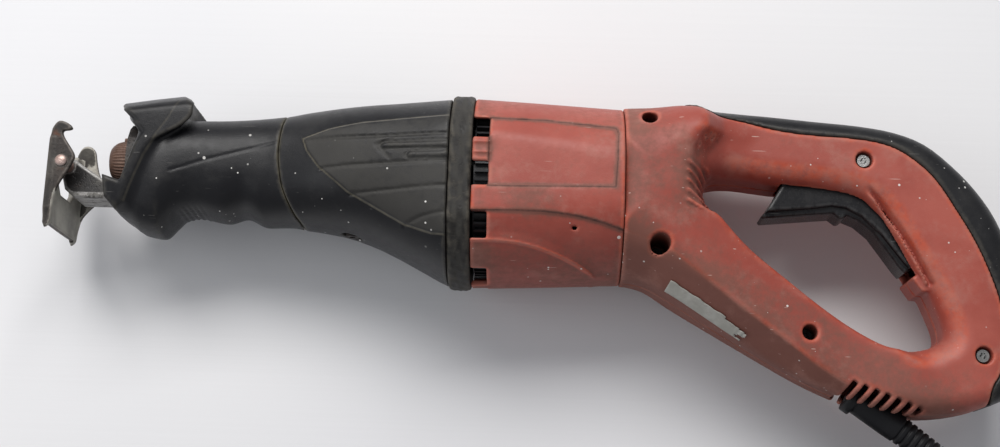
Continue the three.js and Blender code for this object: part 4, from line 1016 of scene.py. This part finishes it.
def sleeveShape(x, y, z):
    r = np.hypot(y - sleeve["axis"], z)
    angle = np.arctan2(z, y - sleeve["axis"])
    flutes = 0.2 * np.sin(angle * sleeve["flutes"]) * ramp(x, -200.5, -198)
    dome = smoothAt(x, [-202, -200.8, -199, -196.5, -193.5, -183], [7.8, 9.2, 10.3, 11, 11.3, 11.3])
    body = np.maximum(r - dome + flutes + 0.25, np.maximum(sleeve["front"] - x, x - sleeve["rear"]))
    bore = np.where(x < sleeve["step"], sleeve["frontBore"], sleeve["rearBore"])
    body = cutOut(body, r - bore, 0.3)
    lug = block(x, y, z, (-196, 20.6, -4), (-189.5, 23.2, 4), 0.7)
    return np.minimum(body, np.maximum(lug, 9 - r))


sleevePiece = mould("blade_clamp_sleeve_turned", (-204, -3, -14), (-181, 25, 14), 0.35, sleeveShape,
                    "rust_brown",
                    lambda x, y, z, normal: 0.2 * ramp(-x, 190, 200))
place(sleevePiece, "clamp", "rusty_steel", "blade_clamp_sleeve")
print("front end")


# Repeated pieces by geometry nodes
def tree(name, inputs):
    made = bpy.data.node_groups.new(name, "GeometryNodeTree")
    made.interface.new_socket("Geometry", in_out="OUTPUT", socket_type="NodeSocketGeometry")
    for key, value in inputs.items():
        kind = {int: "NodeSocketInt", tuple: "NodeSocketVector"}.get(type(value), "NodeSocketFloat")
        made.interface.new_socket(key, in_out="INPUT", socket_type=kind).default_value = value
    start, end = made.nodes.new("NodeGroupInput"), made.nodes.new("NodeGroupOutput")

    def node(kind, settings=None, output=0, **links):
        new = made.nodes.new(kind)
        for key, value in (settings or {}).items():
            setattr(new, key, value)
        for key, value in links.items():
            socket = new.inputs[int(key[1:])] if key[0] == "i" and key[1:].isdigit() else new.inputs[key]
            if isinstance(value, bpy.types.NodeSocket):
                made.links.new(value, socket)
            else:
                socket.default_value = value
        return new.outputs[output]

    return made, start.outputs, end.inputs[0], node


def fromTree(name, group, values, finish):
    holder = added(name + "_maker", bpy.data.meshes.new(name + "_maker"))
    modifier = holder.modifiers.new("nodes", "NODES")
    modifier.node_group = group
    for item in group.interface.items_tree:
        if item.in_out == "INPUT" and item.name in values:
            modifier[item.identifier] = values[item.name]
    evaluated = holder.evaluated_get(bpy.context.evaluated_depsgraph_get())
    mesh = bpy.data.meshes.new_from_object(evaluated)
    holder.modifiers.clear()
    bpy.data.objects.remove(holder)
    mesh.name = name
    mesh.transform(Matrix.Translation(origin.tolist()))
    mesh.materials.clear()
    mesh.materials.append(finishes[finish])
    return added(name, mesh)


screw = {"head": 0.0031, "height": 0.0028, "shank": 0.002, "length": 0.03, "socket": 0.0019, "depth": 0.0016}
screwGroup, given, done, node = tree("torx_screw", {"Place": (0.0, 0.0, 0.0), "Head": screw["head"],
                                                    "Height": screw["height"], "Socket": screw["socket"],
                                                    "Depth": screw["depth"], "Length": screw["length"]})
headMesh = node("GeometryNodeMeshCylinder", None, 0, Vertices=48, Radius=given["Head"], Depth=given["Height"])
shankMesh = node("GeometryNodeMeshCylinder", None, 0, Vertices=20, Radius=screw["shank"],
                 Depth=given["Length"])
half = node("ShaderNodeMath", {"operation": "MULTIPLY"}, 0, i0=given["Length"], i1=-0.5)
drop = node("ShaderNodeCombineXYZ", None, 0, Z=half)
shankMesh = node("GeometryNodeTransform", None, 0, Geometry=shankMesh, Translation=drop)
star = node("GeometryNodeCurveStar", None, 0, Points=6)
made = star.node
made.inputs["Inner Radius"].default_value = 0.0013
screwGroup.links.new(given["Socket"], made.inputs["Outer Radius"])
fillet = node("GeometryNodeFilletCurve", {"mode": "POLY"}, 0, Curve=star, Count=3, Radius=0.0003)
fill = node("GeometryNodeFillCurve", None, 0, Curve=fillet)
thick = node("GeometryNodeExtrudeMesh", None, 0, Mesh=fill)
screwGroup.links.new(given["Depth"], thick.node.inputs["Offset Scale"])
flip = node("GeometryNodeFlipFaces", None, 0, Mesh=fill)
tool = node("GeometryNodeJoinGeometry", None, 0)
screwGroup.links.new(thick, tool.node.inputs[0])
screwGroup.links.new(flip, tool.node.inputs[0])
tool = node("GeometryNodeMergeByDistance", None, 0, Geometry=tool, Distance=0.00001)
lift = node("ShaderNodeCombineXYZ", None, 0, Z=0.0002)
tool = node("GeometryNodeTransform", None, 0, Geometry=tool, Translation=lift)
headCut = node("GeometryNodeMeshBoolean", {"operation": "DIFFERENCE"}, 0, i0=headMesh, i1=tool)
whole = node("GeometryNodeJoinGeometry", None, 0)
screwGroup.links.new(headCut, whole.node.inputs[0])
screwGroup.links.new(shankMesh, whole.node.inputs[0])
whole = node("GeometryNodeTransform", None, 0, Geometry=whole, Translation=given["Place"])
whole = node("GeometryNodeRealizeInstances", None, 0, Geometry=whole)
whole = node("GeometryNodeSetMaterial", None, 0, Geometry=whole, Material=finishes["screw_steel"])
screwGroup.links.new(whole, done)

for number, (sx, sy, seat, _) in enumerate(handle["screws"], 1):
    where = (sx / 1000, sy / 1000, (seat + 1.6) / 1000)
    deep = "black_cast" if seat < 10 else "screw_steel"  # the deeper-set ones get the black finish
    piece = fromTree(f"handle_screw_{number}_torx", screwGroup, {"Place": where}, deep)
    place(piece, "housing", "bright_steel", f"handle_screw_{number}")

fins = {"Count": 64, "Radius": 0.0427, "Height": 0.0026, "Width": 0.0011, "Depth": 0.009}
finGroup, given, done, node = tree("guide_fins", fins)
ring = node("GeometryNodeMeshCircle", None, 0, Vertices=given["Count"], Radius=given["Radius"])
fin = node("ShaderNodeCombineXYZ", None, 0, X=given["Height"], Y=given["Width"], Z=given["Depth"])
fin = node("GeometryNodeMeshCube", None, 0, Size=fin)
spot = node("GeometryNodeInputPosition", None, 0)
face = node("FunctionNodeAlignRotationToVector", {"axis": "X"}, 0, Vector=spot)
spread = node("GeometryNodeInstanceOnPoints", None, 0, Points=ring, Instance=fin, Rotation=face)
spread = node("GeometryNodeRealizeInstances", None, 0, Geometry=spread)
hoop = node("GeometryNodeMeshCylinder", None, 0, Vertices=72, Radius=0.0414, Depth=0.0105)
both = node("GeometryNodeJoinGeometry", None, 0)
finGroup.links.new(spread, both.node.inputs[0])
finGroup.links.new(hoop, both.node.inputs[0])
laid = node("GeometryNodeTransform", None, 0, Geometry=both, Rotation=(0.0, math.pi / 2, 0.0),
            Translation=(-0.0074, 0.0, 0.0))
laid = node("GeometryNodeSetMaterial", None, 0, Geometry=laid, Material=finishes["dark_plastic"])
finGroup.links.new(laid, done)
guidePiece = fromTree("air_guide_finned", finGroup, fins, "dark_plastic")
place(guidePiece, "housing", "trim_black", "air_guide")
print("screws and air guide")

# Rating label, torn at its rear end
label = {"from": (82.5, -52.4), "to": (121, -76), "inset": 0.8, "width": 4.6, "rows": 13, "columns": 70,
         "levels": 260, "reach": 46}
alongLabel = np.subtract(label["to"], label["from"])
acrossLabel = np.array([-alongLabel[1], alongLabel[0]]) / np.linalg.norm(alongLabel)
shares = np.linspace(0, 1, label["columns"])
points, faces = [], []
for t in shares:
    torn = 0.8 * math.sin(t * 31) * math.sin(t * 11 + 1)
    for s in np.linspace(0, 1, label["rows"]):
        spot = np.array(label["from"]) + alongLabel * t + acrossLabel * (label["inset"] + label["width"] * s)
        points.append([spot[0] + torn * 0.5 * (s > 0.8), spot[1], 0])
points = np.array(points)
heights = np.linspace(0, label["reach"], label["levels"])
levels = handleSolid(points[:, 0][:, None], points[:, 1][:, None], heights[None, :])
inside = levels < -0.02
last = np.where(inside, np.arange(label["levels"]), 0).max(1).clip(0, label["levels"] - 2)
rows = np.arange(len(points))
share = levels[rows, last] / np.minimum(levels[rows, last] - levels[rows, last + 1], -1e-6)
top = np.where(inside.any(1), heights[last] + share.clip(0, 1) * (heights[1] - heights[0]), np.nan)
keep = ~np.isnan(top)
curl = np.repeat(ramp(shares, 0.8, 1.0), label["rows"])
ripple = np.sin(points[:, 0] * 1.9) * np.cos(points[:, 1] * 1.3)
points[:, 2] = np.where(keep, top, 0) + curl * (0.9 + 0.9 * ripple)
points[:, :2] -= acrossLabel * 0.5  # just clear of the moulding
rows = label["rows"]
for i in range(label["columns"] - 1):
    for j in range(rows - 1):
        quad = [i * rows + j, (i + 1) * rows + j, (i + 1) * rows + j + 1, i * rows + j + 1]
        ripped = shares[i] > 0.97 - 0.1 * math.sin(j * 0.8) or (shares[i] > 0.7 and j > rows - 4)
        if keep[quad].all() and not ripped:
            faces.append(quad)
labelPiece = meshPiece("rating_label_blank", points, faces, "label_foil")
solid = labelPiece.modifiers.new("foil", "SOLIDIFY")
solid.thickness = 0.00025
solid.offset = 1
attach(labelPiece, "housing")

# Cord
cord = {
    "radius": 4.25,
    "lead": [(223.78, -131.4, 0), (230, -135.8, -0.3), (236, -140.9, -1.3), (241.2, -147.2, -3),
             (244.6, -155, -5.2), (246.4, -163, -7.6)],
    "tail": [(152, -263.8, -40.2), (142, -263.8, -40.6), (130, -263.8, -40.7), (118, -263.8, -40),
             (106, -263.8, -37.6), (94, -263.8, -34), (82, -263.8, -30.4), (72, -263.8, -28.5),
             (60, -263.8, -28)],
    "coilMiddle": (189, -203), "inner": 37.2, "outer": 60.8, "pitch": 8.6, "top": -13.4, "layers": 4,
    "turns": 3,
}


def onCoil(radius, angle, height):
    middle = cord["coilMiddle"]
    return middle[0] + radius * math.cos(angle), middle[1] + radius * math.sin(angle), height


def coilPoints():
    perTurn, found = 28, []
    for layer in range(cord["layers"]):
        inwards = layer % 2 == 0
        start, end = (cord["outer"], cord["inner"]) if inwards else (cord["inner"], cord["outer"])
        for i in range(cord["turns"] * perTurn):
            turns = i / perTurn
            share = min(turns / (cord["turns"] - 0.25), 1)
            last = layer == cord["layers"] - 1
            fall = 0 if last else float(ramp(turns, cord["turns"] - 0.25, cord["turns"]))
            radius = start + (end - start) * share
            found.append(onCoil(radius, -2 * math.pi * turns, cord["top"] - cord["pitch"] * (layer + fall)))
    for i in range(perTurn // 4 + 1):
        lowest = cord["top"] - cord["pitch"] * (cord["layers"] - 1)
        found.append(onCoil(cord["outer"], -2 * math.pi * i / perTurn, lowest))
    return found


coil = coilPoints()
lead = steps(cord["lead"] + [coil[0], coil[1]], 4)[:-5]
tail = steps([coil[-2], coil[-1]] + cord["tail"], 4)[5:]
route = metres(np.vstack([lead, coil, tail]))
curve = bpy.data.curves.new("power_cord_run", "CURVE")
curve.dimensions = "3D"
curve.bevel_depth = cord["radius"] / 1000
curve.bevel_resolution = 5
spline = curve.splines.new("POLY")
spline.points.add(len(route) - 1)
for point, where in zip(spline.points, route):
    point.co = (*where, 1)
spline.use_smooth = True
curve.materials.append(finishes["cord_rubber"])
cordPiece = added("power_cord_run", curve)
place(cordPiece, "housing", "cord_black", "power_cord", "power_cord_tail", "cord_coil")


def turned(name, profile, count, base, way, finish):
    # a solid turned about a line, with (along, radius) points
    side = np.array([-way[1], way[0]])
    points, faces = [], []
    for along, radius in profile:
        for i in range(count):
            angle = 2 * math.pi * i / count
            flat = base + way * along + side * radius * math.cos(angle)
            points.append((flat[0], flat[1], radius * math.sin(angle)))
    for i in range(len(profile) - 1):
        for j in range(count):
            k = (j + 1) % count
            faces.append([i * count + j, i * count + k, (i + 1) * count + k, (i + 1) * count + j])
    faces.append(list(range(count))[::-1])
    faces.append([(len(profile) - 1) * count + i for i in range(count)])
    piece = meshPiece(name, points, faces, finish)
    piece.data.polygons.foreach_set("use_smooth", [len(face) == 4 for face in faces])
    return piece


boot = {"length": 57.9, "radius": 7.3, "tip": 5.6, "flange": 9,
        "grooves": (30, 33.4, 36.8, 40.2, 43.6, 47, 50.4)}
profile = [(0, 8.4), (0.4, boot["flange"]), (4.6, boot["flange"]), (5, 8.6), (5.2, boot["radius"])]
for along in np.arange(6, boot["length"], 0.35):
    radius = boot["radius"] + (boot["tip"] - boot["radius"]) * max(along - 24, 0) / (boot["length"] - 24)
    near = min(abs(along - groove) for groove in boot["grooves"])
    profile.append((along, radius - 0.9 * float(ramp(-near, -0.85, -0.3))))
profile += [(boot["length"], boot["tip"] - 0.5)]
bootPiece = turned("cord_boot_ribbed", profile, 40, bootFrom, bootWay, "cord_rubber")
place(bootPiece, "housing", "cord_black", "cord_boot")

plug = {"rear": 59.7, "face": 15.7, "y": -263.8, "z": -28}


def plugShape(x, y, z):
    r = np.hypot(y - plug["y"], z - plug["z"])
    along = plug["rear"] - x
    body = smoothAt(along, [0, 4, 16, 20, 26, 34, 44], [5.4, 5.7, 7.6, 11.5, 16.2, 16.9, 16.4])
    flat = (np.where(along > 20, 1.0, 0.0) * 0.7 * (0.5 + 0.5 * np.sin(along * 2.2))
            * ramp(abs(z - plug["z"]), 8, 12))
    ribs = 0.7 * (0.5 + 0.5 * np.sin(along * 1.9)) * ramp(-along, -17, -15) * ramp(along, 2, 4)
    return common(r - body + flat + ribs, np.maximum(-along, along - 44), 1.2)


plugPiece = mould("plug_body_moulding", (13, -283, -47), (62, -245, -9), 0.7, plugShape, "cord_rubber")
place(plugPiece, "housing", "cord_black", "plug_body")

# Nodes of the frame that keep their shape
nodeFinishes = {
    "gear_housing": "black_cast", "bearing_plate": "cast_alloy", "plunger": "bright_steel",
    "plunger_bush_front": "bronze", "plunger_bush_rear": "bronze", "plunger_seal": "dark_plastic",
    "crank_gear": "bright_steel", "crank_roller": "bright_steel", "crank_bearing": "bright_steel",
    "armature_shaft": "bright_steel", "armature_core": "worn_steel", "commutator": "copper",
    "cooling_fan": "dark_plastic", "front_bearing": "bright_steel", "rear_bearing": "bright_steel",
    "stator_core": "worn_steel", "field_winding_front": "copper", "field_winding_rear": "copper",
    "brush_holder_upper": "bronze", "brush_holder_lower": "bronze", "carbon_brush_upper": "carbon",
    "carbon_brush_lower": "carbon", "switch_body": "dark_plastic", "electronics_module": "dark_plastic",
    "cord_clamp": "dark_plastic", "gear_cover_screw": "black_cast", "coil_tie": "dark_plastic",
    "plug_pin_upper": "bright_steel", "plug_pin_lower": "bright_steel",
}
for name, finish in nodeFinishes.items():
    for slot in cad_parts[name].material_slots:
        slot.material = finishes[finish]
print("inner pieces")

# Floor and light
floorLook = {"colour": (0.77, 0.765, 0.77), "second": (0.72, 0.72, 0.735)}
floorMaterial = bpy.data.materials.new("white_sheet")
floorMaterial.use_nodes = True
paper = Shade(floorMaterial.node_tree)
where = paper.node("ShaderNodeTexCoord", None, None, output=3)
soft = where.noise(2.2, 2.0).ramp(0.3, 0.7).mix(floorLook["colour"], floorLook["second"])
sheet = floorMaterial.node_tree.nodes["Principled BSDF"]
floorMaterial.node_tree.links.new(soft.socket, sheet.inputs["Base Color"])
lines = where.stretched((0.0, 0.0, 0.02), (2.0, 330.0, 2.0)).noise(1.0, 2.0)
floorMaterial.node_tree.links.new(paper.bump(lines, 0.12, 0.0006).socket, sheet.inputs["Normal"])
sheet.inputs["Roughness"].default_value = 0.75
floorMesh = bpy.data.meshes.new("floor")
floorMesh.from_pydata([(-6, -6, 0), (6, -6, 0), (6, 6, 0), (-6, 6, 0)], [], [(0, 1, 2, 3)])
floorMesh.materials.append(floorMaterial)
added("floor", floorMesh)

lamps = {
    "main": {"place": (-0.2, 0.85, 1.1), "size": (1.1, 0.6), "power": 19, "colour": (1.0, 0.985, 0.97)},
    "left": {"place": (-1.1, -0.1, 0.75), "size": (0.7, 0.9), "power": 3, "colour": (0.96, 0.98, 1.0)},
}
for name, lamp in lamps.items():
    data = bpy.data.lights.new(name, "AREA")
    data.shape = "RECTANGLE"
    data.size, data.size_y = lamp["size"]
    data.energy = lamp["power"]
    data.color = lamp["colour"]
    light = added(name, data)
    light.location = lamp["place"]
    light.rotation_euler = (Vector((0, 0, 0.03)) - light.location).to_track_quat("-Z", "Y").to_euler()
world = bpy.data.worlds.new("studio")
world.use_nodes = True
world.node_tree.nodes["Background"].inputs[0].default_value = (0.93, 0.95, 1.0, 1)
world.node_tree.nodes["Background"].inputs[1].default_value = 0.36
bpy.context.scene.world = world
bpy.context.scene.view_settings.view_transform = "Standard"

print("done")
